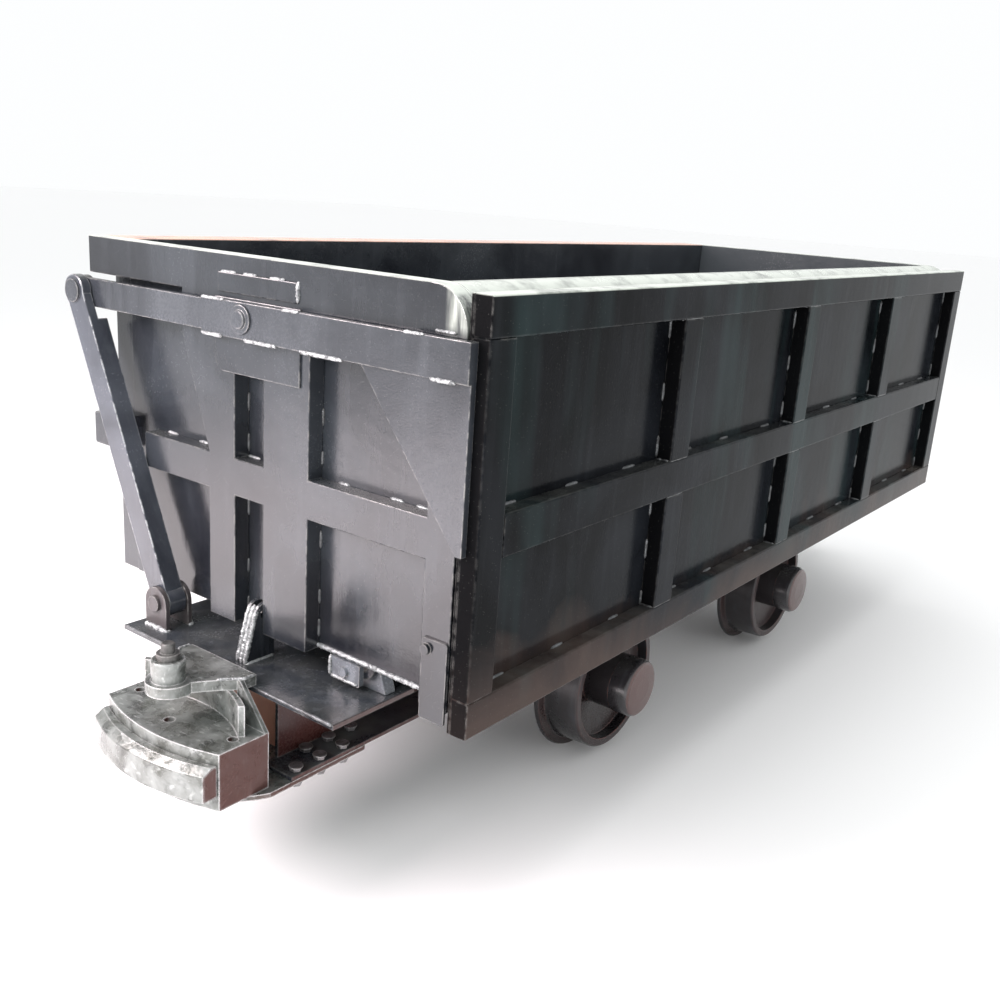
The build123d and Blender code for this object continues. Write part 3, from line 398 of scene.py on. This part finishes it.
def bare_metal(name, base, dark, rough, scale, oxide=0.3, metallic=0.85, pits=0.0015):
    """Uncoated iron or steel: mill scale, grease and rust in patches, brighter on edges."""
    g = Graph(name)
    patches = g.noise(scale, 6, twist=0.5)
    fine = g.noise(scale * 14, 4)
    colour = g.mix(g.spread(patches, 0.35, 0.62), dark, base)
    rust = g.product(g.spread(g.noise(scale * 2.3, 7), 0.50, 0.72), oxide)
    colour = g.mix(rust, colour, OXIDE)
    bright = g.product(g.edges(0.004), g.spread(fine, 0.3, 0.6), 0.8)
    colour = g.mix(bright, colour, BARE_STEEL)
    g.put(colour, g.shader.inputs["Base Color"])
    g.put(g.spread(rust, 0, 0.5, metallic, metallic * 0.3), g.shader.inputs["Metallic"])
    shine = g.spread(patches, 0.3, 0.7, rough + 0.12, rough - 0.08)
    g.put(g.maths("ADD", shine, g.spread(fine, 0.4, 0.8, 0, 0.12)), g.shader.inputs["Roughness"])
    coarse = g.bump(fine, pits, 0.5)
    g.put(g.bump(g.noise(scale * 60, 2), 0.0004, 0.4, coarse), g.shader.inputs["Normal"])
    return g.material


def cast_grease(name):
    """Greasy steel plate of the bumper: grey-green on top, oxide red on its upright sides."""
    g = Graph(name)
    smears = g.noise(17, 9, twist=0.5)
    fine = g.noise(85, 4)
    colour = g.mix(g.spread(smears, 0.34, 0.66), (0.105, 0.112, 0.100), (0.31, 0.33, 0.32))
    grime = g.spread(g.noise(26, 8, twist=0.4), 0.50, 0.70, 0, 0.75)
    colour = g.mix(grime, colour, (0.030, 0.032, 0.031))
    scuffs = g.spread(g.noise(1.0, 6, stretch=(150, 40, 60)), 0.58, 0.70, 0, 0.45)
    colour = g.mix(scuffs, colour, (0.70, 0.73, 0.72))
    upright = g.spread(g.maths("ABSOLUTE", g.axis(g.normal, "Y")), 0.75, 0.98)
    below_tongue = g.spread(g.axis(g.place, "Z"), 0.462, 0.455)
    colour = g.mix(g.product(upright, 0.9, below_tongue), colour, OXIDE)
    # Near-white edges: wear, with a painted highlight.
    bright = g.product(g.edges(0.005), g.spread(fine, 0.25, 0.5))
    colour = g.mix(bright, colour, PALE_EDGE_WEAR_AND_HIGHLIGHT)
    g.put(colour, g.shader.inputs["Base Color"])
    g.put(g.spread(g.axis(g.normal, "Z"), 0.2, 0.8, 0.35, 0.6), g.shader.inputs["Metallic"])
    shine = g.spread(smears, 0.3, 0.7, 0.20, 0.40)
    g.put(g.maths("ADD", shine, g.product(grime, -0.08)), g.shader.inputs["Roughness"])
    lumps = g.bump(smears, 0.006, 0.4)
    g.put(g.bump(fine, 0.0012, 0.5, lumps), g.shader.inputs["Normal"])
    return g.material


def make_looks():
    """One material for each of the record's slots, and the variants that some nodes need."""
    hopper = dict(
        deep=(0.010, 0.011, 0.015), pale=(0.036, 0.042, 0.050), rough=(0.09, 0.22), gloss=0.8,
        waves=0.0008, streaks=0.10, dust=0.3, edge_wear_and_highlight=0.6, inside=(0.085, 0.095, 0.105),
        rubbed=0.75,
    )
    return {
        "frame_enamel": enamel(
            "frame_enamel", deep=(0.014, 0.013, 0.018), rough=(0.16, 0.32), tint_sides=0.85,
            side_below=0.462, dust=0.4, waves=0.0008,
        ),
        "deck_enamel": enamel(
            "deck_enamel", deep=BLUE_BLACK, pale=(0.040, 0.046, 0.054), rough=(0.07, 0.20),
            gloss=0.75, tint_sides=0.8, dust=0.22, waves=0.0008, cloud_scale=5,
        ),
        "hopper_enamel": enamel("hopper_enamel", crest=PALE_HIGHLIGHT_AND_WEAR, **hopper),
        # The far wall and rails carry a painted orange reflection on their rim tops.
        "far_enamel": enamel("far_enamel", crest=PAINTED_ORANGE_REFLECTION, **hopper),
        "lug_enamel": enamel(
            "lug_enamel", deep=(0.010, 0.012, 0.016), pale=(0.030, 0.036, 0.044),
            rough=(0.12, 0.26), gloss=0.6, waves=0.0006, edge_wear_and_highlight=0.9,
        ),
        "tip_enamel": enamel(
            "tip_enamel", deep=(0.09, 0.10, 0.115), pale=(0.24, 0.26, 0.29),
            rough=(0.16, 0.30), gloss=0.8, waves=0.0006, cloud_scale=12, edge_wear_and_highlight=1.0,
        ),
        # The link's near-white edges are a painted highlight as well as wear.
        "link_enamel": enamel(
            "link_enamel", deep=(0.034, 0.038, 0.048), pale=(0.090, 0.100, 0.122),
            rough=(0.12, 0.24), gloss=0.8, waves=0.0006, edge_wear_and_highlight=1.7,
            edge_wear_and_highlight_colour=(0.80, 0.82, 0.84),
        ),
        "bracket_enamel": enamel(
            "bracket_enamel", deep=(0.045, 0.039, 0.040), pale=(0.095, 0.083, 0.085),
            rough=(0.22, 0.36), waves=0.0006, dust=0.2, edge_wear_and_highlight=0.9,
        ),
        # On the gate, faces turned along X are blackened as painted shade.
        "gate_enamel": enamel(
            "gate_enamel", deep=(0.003, 0.0034, 0.0044), pale=(0.015, 0.017, 0.021),
            rough=(0.06, 0.15), gloss=0.06,
            tint=CLAY, tint_height=(0.47, 0.62), waves=0.0004, bands=0.45, streaks=0.06,
            dark_ends=0.9, crest=PALE_HIGHLIGHT_AND_WEAR, crest_height=1.342, dust=0.2, edge_wear_and_highlight=0.35,
        ),
        "arm_enamel": enamel(
            "arm_enamel", deep=(0.022, 0.025, 0.031), pale=(0.062, 0.069, 0.080),
            rough=(0.14, 0.26), gloss=0.75, waves=0.0006, streaks=0.2, edge_wear_and_highlight=0.8,
        ),
        # Red-brown paint on the cross members, made very bright as painted light.
        "red_paint_and_painted_light": enamel(
            "red_paint_and_painted_light", deep=(0.62, 0.30, 0.20), pale=(0.82, 0.43, 0.31), rough=(0.3, 0.45)
        ),
        "weld": bare_metal(
            "weld", (0.62, 0.64, 0.65), (0.09, 0.10, 0.105), 0.28, 120, 0.08, 0.5, 0.0010
        ),
        "dull_weld": bare_metal(
            "dull_weld", (0.16, 0.17, 0.18), (0.035, 0.038, 0.042), 0.30, 40, 0.05, 0.5, 0.0008
        ),
        "cast_steel": cast_grease("cast_steel"),
        "wheel_iron": enamel(
            "wheel_iron", deep=(0.007, 0.0062, 0.0075), pale=(0.030, 0.026, 0.028),
            rough=(0.20, 0.36), gloss=0.5, waves=0.0004, streaks=0.2, tint_sides=0.22,
            dust=0.15, edge_wear_and_highlight=1.2, edge_wear_and_highlight_colour=(0.20, 0.078, 0.066),
        ),
        "cap_enamel": enamel(
            "cap_enamel", deep=(0.012, 0.011, 0.013), pale=(0.034, 0.031, 0.034),
            rough=(0.10, 0.20), gloss=0.9, dust=0.3, waves=0.0004, edge_wear_and_highlight=0.6,
            tint_sides=0.85,
        ),
        "axle_steel": bare_metal(
            "axle_steel", (0.16, 0.15, 0.145), (0.05, 0.045, 0.04), 0.38, 14, 0.35
        ),
        "bearing_steel": bare_metal(
            "bearing_steel", (0.5, 0.5, 0.5), (0.3, 0.3, 0.29), 0.22, 20, 0.05
        ),
        "bolt_steel": bare_metal(
            "bolt_steel", (0.25, 0.24, 0.25), (0.06, 0.055, 0.055), 0.30, 30, 0.35, 0.6
        ),
        "draw_pin_steel": bare_metal(
            "draw_pin_steel", (0.15, 0.15, 0.145), (0.022, 0.022, 0.022), 0.30, 22, 0.2, 0.5
        ),
        "roller_steel": bare_metal(
            "roller_steel", (0.22, 0.21, 0.20), (0.07, 0.06, 0.055), 0.36, 12, 0.35
        ),
    }


# --- CAD nodes: their finish and the roundness of their edges -------------------------------
EDGE_ROUND = 0.0022
SOFT_EDGE = 0.0035          # on the bumpers and their pads
ROUNDED_ABOVE = math.radians(38)
FLAT_BELOW = math.radians(0.4)
JOIN_WITHIN = 0.00001
# Nodes whose edges stay as the CAD has them.
NO_ROUNDING = ("axle_nuts", "wheel_bearings", "frame_bolts", "hinge_cover_plates")
OWN_LOOKS = {
    "cross_members": "red_paint_and_painted_light",
    "deck_plates": "deck_enamel",
    "hinge_cover_plates": "tip_enamel",
    "tip_brackets": "tip_enamel",
    "lock_lugs": "lug_enamel",
    "link_brackets": "bracket_enamel",
    "link_foot_pins": "bracket_enamel",
    "arm_pins": "arm_enamel",
    "far_wall": "far_enamel",
    "far_rails": "far_enamel",
}
for end in ("front", "rear"):
    OWN_LOOKS["gate_arm_" + end] = "arm_enamel"
    OWN_LOOKS["link_" + end] = "link_enamel"
    OWN_LOOKS["link_head_pin_" + end] = "arm_enamel"
    OWN_LOOKS["draw_pin_" + end] = "draw_pin_steel"


def finish_nodes(looks):
    """Give each CAD node its slot's material, and round its sharp edges with modifiers."""
    for name, node in NODES.items():
        for material_slot in node.material_slots:
            look = OWN_LOOKS.get(name, material_slot.material.name)
            material_slot.material = looks[look]
        if name.startswith(NO_ROUNDING):
            continue
        join = node.modifiers.new("join", "WELD")
        join.merge_threshold = JOIN_WITHIN
        flat = node.modifiers.new("flat", "DECIMATE")
        flat.decimate_type = "DISSOLVE"
        flat.angle_limit = FLAT_BELOW
        rounding = node.modifiers.new("rounding", "BEVEL")
        cast = name.startswith(("bumper", "buffer_pad"))
        rounding.width = SOFT_EDGE if cast else EDGE_ROUND
        rounding.segments = 2
        rounding.limit_method = "ANGLE"
        rounding.angle_limit = ROUNDED_ABOVE
        rounding.use_clamp_overlap = True
        even = node.modifiers.new("even", "WEIGHTED_NORMAL")
        even.keep_sharp = True


# --- Weld beads and other small pieces ------------------------------------------------------
ENDS = ((-1, "front"), (1, "rear"))     # the two ends mirror each other
BEAD_SIDES = 7
BEAD_PITCH = 0.006          # from one ripple of a weld to the next
RINGS_PER_RIPPLE = 3
SWELL = (0.86, 1.14)        # size of a ripple, as a share of the bead's
RIPPLE_RADIUS = (0.84, 0.26)    # share of the radius at the start of a ripple, and its rise
WANDER = 0.05               # of a ring sideways, as a share of the radius
LAG = 0.35                  # how far a ring leans back at its foot, as a share of the pitch
END_SHARE = 0.45            # of the radius, at each end of a bead
STITCH_SHIFT = 0.012        # of a stitch along its edge, either way
STITCH_HALF = (0.42, 0.56)  # half of a stitch, as a share of the stated length


def lerp(a, b, share):
    """The point that lies this share of the way from a to b."""
    return Vector(a) + (Vector(b) - Vector(a)) * share


class Beads:
    """A mesh that collects rippled weld beads, laid along edges and corners."""

    def __init__(self, seed):
        self.points = []
        self.faces = []
        self.chance = random.Random(seed)

    def lay(self, path, radius, out):
        """One bead along the path's points. out is the side that its ripples bulge towards."""
        path = [Vector(p) for p in path]
        out = Vector(out).normalized()
        lengths = [(b - a).length for a, b in zip(path, path[1:])]
        total = sum(lengths)
        rings = max(4, round(total / BEAD_PITCH * RINGS_PER_RIPPLE))
        first = len(self.points)
        jitter = self.chance.uniform
        swell = 1.0
        for i in range(rings + 1):
            along = total * i / rings
            left = along
            k = 0
            while k < len(lengths) - 1 and left > lengths[k]:
                left -= lengths[k]
                k += 1
            forward = (path[k + 1] - path[k]).normalized()
            centre = path[k] + forward * left
            side = forward.cross(out).normalized()
            ripple = (i % RINGS_PER_RIPPLE) / RINGS_PER_RIPPLE
            if ripple == 0:
                swell = jitter(*SWELL)
            to_end = min(along, total - along)
            taper = min(1.0, END_SHARE + to_end / (radius * 2))
            r = radius * swell * (RIPPLE_RADIUS[0] + RIPPLE_RADIUS[1] * ripple) * taper
            centre = centre + side * jitter(-WANDER, WANDER) * radius
            for j in range(BEAD_SIDES):
                turn = 2 * math.pi * j / BEAD_SIDES
                lag = -BEAD_PITCH * LAG * (1 - math.cos(turn))
                spot = centre + out * (r * math.cos(turn)) + side * (r * math.sin(turn))
                self.points.append(spot + forward * lag)
        for i in range(rings):
            for j in range(BEAD_SIDES):
                a = first + i * BEAD_SIDES + j
                b = first + i * BEAD_SIDES + (j + 1) % BEAD_SIDES
                self.faces.append((a, b, b + BEAD_SIDES, a + BEAD_SIDES))
        self.faces.append(tuple(first + j for j in reversed(range(BEAD_SIDES))))
        last = first + rings * BEAD_SIDES
        self.faces.append(tuple(last + j for j in range(BEAD_SIDES)))

    def stitch(self, a, b, out, radius, length, places):
        """Short beads on the line from a to b, centred at these shares of it."""
        a, b = Vector(a), Vector(b)
        along = (b - a).normalized()
        for place in places:
            centre = lerp(a, b, place) + along * self.chance.uniform(-STITCH_SHIFT, STITCH_SHIFT)
            half = length * self.chance.uniform(*STITCH_HALF)
            self.lay((centre - along * half, centre + along * half), radius, out)

    def piece(self, name, body, material):
        """Turn the beads laid so far into one piece on a body."""
        mesh = bpy.data.meshes.new(name)
        mesh.from_pydata(self.points, [], self.faces)
        mesh.validate()
        mesh.shade_smooth()
        return settle(mesh, name, body, material)


def settle(mesh, name, body, material):
    """Put a finished mesh in the scene as a piece that rides on a body."""
    bm = bmesh.new()
    bm.from_mesh(mesh)
    bmesh.ops.recalc_face_normals(bm, faces=bm.faces)
    bm.to_mesh(mesh)
    bm.free()
    mesh.materials.append(material)
    made = bpy.data.objects.new(name, mesh)
    bpy.context.scene.collection.objects.link(made)
    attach(made, body)
    return made


def solids(node):
    """Lowest and highest corner of each separate solid in a CAD node."""
    bm = bmesh.new()
    bm.from_mesh(NODES[node].data)
    bmesh.ops.remove_doubles(bm, verts=bm.verts, dist=JOIN_WITHIN)
    waiting = set(bm.verts)
    found = []
    while waiting:
        front = [waiting.pop()]
        members = []
        while front:
            vertex = front.pop()
            members.append(vertex.co.copy())
            for edge in vertex.link_edges:
                other = edge.other_vert(vertex)
                if other in waiting:
                    waiting.remove(other)
                    front.append(other)
        low = Vector(min(p[i] for p in members) for i in range(3))
        high = Vector(max(p[i] for p in members) for i in range(3))
        found.append((low, high))
    bm.free()
    return sorted(found, key=lambda box: tuple(box[0]))


# Rows of stitches, here and below: radius, length of one, and places as shares of the edge.
BAY_BOTTOM = (0.0048, 0.046, (0.10, 0.44, 0.82))
BAY_TOP = (0.0048, 0.046, (0.2, 0.7))
BAY_SIDE = (0.0048, 0.046, (0.09, 0.5, 0.9))
POST_FACE_R = 0.0030
POST_SIDE_R = 0.0038
POST_INSET = 0.004          # of the beads at a post's foot and head, from its edges and face
SIDE_BEAD_Y = (-0.004, 0.006)   # ends of a bead beside a post, from the sheet and the post's face


def gate_welds():
    """Stitch welds round each bay of the gate, and beads where its posts meet its rails."""
    beads = Beads(11)
    sheet_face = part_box("gate_sheet")[0].y
    frame_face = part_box("gate_posts")[0].y
    rails = sorted(solids("gate_rails"), key=lambda box: box[0].z)
    posts = solids("gate_posts")
    columns = sorted({(round(low.x, 4), round(high.x, 4)) for low, high in posts})
    for lower, upper in zip(rails, rails[1:]):
        bottom, top = lower[1].z, upper[0].z
        for left, right in zip(columns, columns[1:]):
            x0, x1 = left[1], right[0]
            for z, up, row in ((bottom, 1, BAY_BOTTOM), (top, -1, BAY_TOP)):
                beads.stitch((x0, sheet_face, z), (x1, sheet_face, z), (0, -1, up), *row)
            for x, side in ((x0, 1), (x1, -1)):
                corner = (x, sheet_face, bottom), (x, sheet_face, top)
                beads.stitch(*corner, (side, -1, 0), *BAY_SIDE)
        for x0, x1 in columns[1:-1]:
            for z, up in ((bottom, 1), (top, -1)):
                y = frame_face + POST_INSET
                foot = (x0 + POST_INSET, y, z), (x1 - POST_INSET, y, z)
                beads.lay(foot, POST_FACE_R, (0, -1, 0))
                for x, side in ((x0, -1), (x1, 1)):
                    y0, y1 = sheet_face + SIDE_BEAD_Y[0], frame_face + SIDE_BEAD_Y[1]
                    beads.lay(((x, y0, z), (x, y1, z)), POST_SIDE_R, (side, 0, up))
    beads.piece("gate_welds", "gate", LOOKS["dull_weld"])


# Edges of the end frames' bars, where welds show.
WALL_BOTTOM_Z = 0.529
RIM_BOTTOM_Z = 1.272
POSTS_Y = ((-0.158, -0.018), (0.077, 0.165))
EDGE_POST_Y = -0.487
MID_RAIL_Z = (0.833, 0.918)
MID_RAIL_END_Y = 0.406
SHEET_X = 1.4595
FRAME_X = 1.500
POST_SPANS = ((WALL_BOTTOM_Z + 0.01, MID_RAIL_Z[0]), (MID_RAIL_Z[1], RIM_BOTTOM_Z - 0.03))
BAYS = (
    (EDGE_POST_Y, POSTS_Y[0][0]), (POSTS_Y[0][1], POSTS_Y[1][0]), (POSTS_Y[1][1], MID_RAIL_END_Y)
)
BESIDE_POST = (0.0042, 0.036, (0.10, 0.40, 0.86))
BESIDE_EDGE_POST = (0.0042, 0.040, (0.12, 0.5, 0.85))
UNDER_RAIL = (0.0044, 0.040, (0.22, 0.80))
OVER_RAIL = (0.0046, 0.034, (0.14, 0.34, 0.82))
OVER_PATCH = (0.0046, 0.05, (0.1, 0.45, 0.8))
BOTTOM_EDGE_R = 0.0062
BOTTOM_EDGE_Z = WALL_BOTTOM_Z + 0.0075
BOTTOM_EDGE_Y = -0.150
RAIL_END_R = 0.0050
RIM_CORNER_R = 0.0042
RIM_CORNER_LENGTH = 0.05
RAIL_END_GAP = 0.002
COVER_FACE_IN = 0.008       # welded face of the hinge covers, in from their outermost point
COVER_SIDE_R = 0.0052
COVER_BOTTOM_R = 0.0046
PATCH_Y = (0.125, -0.120)
PATCH_END_Y = -0.121
PATCH_END_LENGTH = 0.042
PATCH_END_R = 0.0062


def hopper_stitches(end, name):
    """Stitches on an end wall's sheet, beside the posts and under the mid rail."""
    stitches = Beads(23)
    sheet = end * SHEET_X

    def upright(y, low, high, side, row):
        stitches.stitch((sheet, y, low), (sheet, y, high), (end, side, 0), *row)

    for low, high in POST_SPANS:
        for near, far in POSTS_Y:
            upright(near, low, high, -1, BESIDE_POST)
            upright(far, low, high, 1, BESIDE_POST)
        upright(EDGE_POST_Y, low, high, 1, BESIDE_EDGE_POST)
    z = MID_RAIL_Z[0]
    for near, far in BAYS:
        stitches.stitch((sheet, near, z), (sheet, far, z), (end, 0, -1), *UNDER_RAIL)
    stitches.piece("hopper_stitches_" + name, "hopper", LOOKS["dull_weld"])


def hopper_beads(end, name):
    """Brighter welds on an end wall: bottom edge, mid rail, rim, hinge cover and rim patch."""
    beads = Beads(29)
    sheet, face, out = end * SHEET_X, end * FRAME_X, (end, 0, 0)
    z = BOTTOM_EDGE_Z
    beads.lay(((sheet, BOTTOM_EDGE_Y, z), (sheet, EDGE_POST_Y, z)), BOTTOM_EDGE_R, out)
    low_z, high_z = MID_RAIL_Z
    for near, far in BAYS:
        beads.stitch((sheet, near, high_z), (sheet, far, high_z), (end, 0, 1), *OVER_RAIL)
    y = MID_RAIL_END_Y + RAIL_END_GAP
    beads.lay(((sheet, y, low_z), (sheet, y, high_z)), RAIL_END_R, (end, 1, 0))
    y, z = EDGE_POST_Y, RIM_BOTTOM_Z
    beads.lay(((face, y, z), (face, y - RIM_CORNER_LENGTH, z)), RIM_CORNER_R, out)

    # The hinge cover's beads stop a few millimetres short of its corners.
    low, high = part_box("hinge_cover_plates")
    cover = end * (high.x - COVER_FACE_IN)
    side = (cover, high.y, high.z - 0.002), (cover, high.y, low.z + 0.004)
    beads.lay(side, COVER_SIDE_R, out)
    z = low.z + 0.005
    beads.lay(((cover, high.y - 0.004, z), (cover, low.y + 0.004, z)), COVER_BOTTOM_R, out)

    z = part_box("pivot_plates")[1].z
    y0, y1 = PATCH_Y
    beads.stitch((face, y0, z), (face, y1, z), (end, 0, 1), *OVER_PATCH)
    y = PATCH_END_Y
    beads.lay(((face, y, z), (face, y, z - PATCH_END_LENGTH)), PATCH_END_R, out)
    beads.piece("hopper_beads_" + name, "hopper", LOOKS["weld"])


# Edges of the gate's arms: height, radius of the beads, and where each starts and stops in y.
ARM_TOP = (1.265, 0.0038, ((0.155, 0.080), (-0.100, -0.150), (-0.430, -0.480)))
ARM_BOTTOM = (
    1.188, 0.0050, ((0.155, 0.085), (0.015, -0.085), (-0.155, -0.275), (-0.50, -0.56))
)


def arm_welds(end, name):
    """Beads along the bottom and top edges of a gate arm."""
    beads = Beads(31)
    low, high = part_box("gate_arm_" + name)
    face = high.x if end > 0 else low.x
    for (z, radius, runs), up in ((ARM_BOTTOM, -1), (ARM_TOP, 1)):
        for start, stop in runs:
            beads.lay(((face, start, z), (face, stop, z)), radius, (end, 0, up))
    beads.piece("arm_welds_" + name, "gate", LOOKS["weld"])


# Welds on the underframe. The x values are for the rear end.
DECK_Z = 0.468
LUG_EDGE_XZ = ((1.545, DECK_Z), (1.517, 0.572), (1.504, 0.597))
LUG_EDGE_Y = (-0.012, 0.0, 0.012)
LUG_EDGE_R = 0.0068
LUG_FOOT_X = (1.543, 1.464)
LUG_FOOT_Y = 0.017
LUG_FOOT_R = 0.0050
FORK_FACE_X = ((1.5625, 1), (1.4885, -1))     # and the way that each face looks
FORK_FACE_Y = (0.248, 0.332)
FORK_FACE_R = 0.0085
FORK_EAR_X = ((1.5505, 1.5625), (1.4885, 1.5005))
FORK_EAR_Y = ((0.250, -1), (0.330, 1))
FORK_EAR_R = 0.0062
TONGUE_XY = ((1.600, 0.110), (1.628, 0.110), (1.652, 0.086), (1.672, 0.074))
TONGUE_Z = 0.4935
TONGUE_R = 0.0036
DECK_EDGE_X = 1.6046
DECK_EDGE_Z = 0.4665
DECK_EDGE_Y = ((-0.350, -0.130), (0.150, 0.345))
DECK_EDGE_R = 0.0042


def frame_welds(end, name):
    """Beads on the transport lug, the link's forked bracket, the bumper's tongue and the deck."""
    beads = Beads(47)
    # The lug's slanted edge has three runs of weld: one on each plate, and one over the gap.
    for y in LUG_EDGE_Y:
        beads.lay([(end * x, y, z) for x, z in LUG_EDGE_XZ], LUG_EDGE_R, (end, 0, 0.35))
    for side in (-1, 1):
        foot = [(end * x, side * LUG_FOOT_Y, DECK_Z) for x in LUG_FOOT_X]
        beads.lay(foot, LUG_FOOT_R, (0, side, 1))
    for x, way in FORK_FACE_X:
        foot = [(end * x, y, DECK_Z) for y in FORK_FACE_Y]
        beads.lay(foot, FORK_FACE_R, (end * way, 0, 1))
    for y, side in FORK_EAR_Y:
        for x0, x1 in FORK_EAR_X:
            foot = (end * x0, y, DECK_Z), (end * x1, y, DECK_Z)
            beads.lay(foot, FORK_EAR_R, (0, side, 1))
    for side in (-1, 1):
        beads.lay([(end * x, side * y, TONGUE_Z) for x, y in TONGUE_XY], TONGUE_R, (0, 0, 1))
    beads.piece("frame_welds_" + name, "underframe", LOOKS["weld"])

    # Duller beads lie along the deck's outer edge, on both sides of the bumper's tongue.
    edge = Beads(53)
    for run in DECK_EDGE_Y:
        edge.lay([(end * DECK_EDGE_X, y, DECK_EDGE_Z) for y in run], DECK_EDGE_R, (end, 0, 1))
    edge.piece("deck_beads_" + name, "underframe", LOOKS["dull_weld"])


# Rings of a bolt: radius, and distance from its upper end (the seat) or its lower end (the
# tip). The hexagon's radii are shares of its corner radius.
WASHER_BELOW_SEAT = ((0.0155, 0.0), (0.0162, 0.0008), (0.0162, 0.0022), (0.0152, 0.0030))
HEAD_BELOW_SEAT = ((0.94, 0.0030), (1.0, 0.0042))
HEAD_ABOVE_TIP = ((1.0, 0.0028), (0.86, 0.0006), (0.80, 0.0004))
SHANK_ABOVE_TIP = ((0.0072, 0.004), (0.0072, 0.0006), (0.0060, 0.0))
WASHER_SIDES = 24
HEAD_SIDES = 6
SHANK_SIDES = 16
HALF_SIDE = math.pi / 6     # half the angle of one side of a hexagon


def frame_bolts():
    """Heads and nuts of the bolts between bumpers and channels: hexagons with washers.

    The washer is at the upper end of each one, next to the plate for a nut below it.
    """
    bm = bmesh.new()

    def ring(centre, radius, height, count, twist):
        made = []
        for i in range(count):
            turn = 2 * math.pi * i / count + twist
            spot = (centre.x + radius * math.cos(turn), centre.y + radius * math.sin(turn), height)
            made.append(bm.verts.new(spot))
        return made

    def stack(centre, levels, count, twist=0.0):
        rings = [ring(centre, radius, height, count, twist) for radius, height in levels]
        for low, high in zip(rings, rings[1:]):
            for i in range(count):
                j = (i + 1) % count
                bm.faces.new((low[i], low[j], high[j], high[i]))
        bm.faces.new(rings[0])
        bm.faces.new(rings[-1])

    for low, high in solids("frame_bolts"):
        centre = (low + high) / 2
        seat, tip = high.z, low.z
        corner = (high.y - low.y) / 2 / math.cos(HALF_SIDE)
        washer = [(r, seat - below) for r, below in WASHER_BELOW_SEAT]
        head = [(corner * share, seat - below) for share, below in HEAD_BELOW_SEAT]
        head += [(corner * share, tip + above) for share, above in HEAD_ABOVE_TIP]
        shank = [(r, tip + above) for r, above in SHANK_ABOVE_TIP]
        stack(centre, washer, WASHER_SIDES)
        stack(centre, head, HEAD_SIDES, HALF_SIDE)
        stack(centre, shank, SHANK_SIDES)
    mesh = bpy.data.meshes.new("bolts_with_washers")
    bm.to_mesh(mesh)
    bm.free()
    made = settle(mesh, "bolts_with_washers", "underframe", LOOKS["bolt_steel"])
    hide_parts("frame_bolts")


make_camera()
make_studio()
LOOKS = make_looks()
finish_nodes(LOOKS)
gate_welds()
for end, name in ENDS:
    hopper_stitches(end, name)
    hopper_beads(end, name)
for end, name in ENDS:
    arm_welds(end, name)
for end, name in ENDS:
    frame_welds(end, name)
frame_bolts()
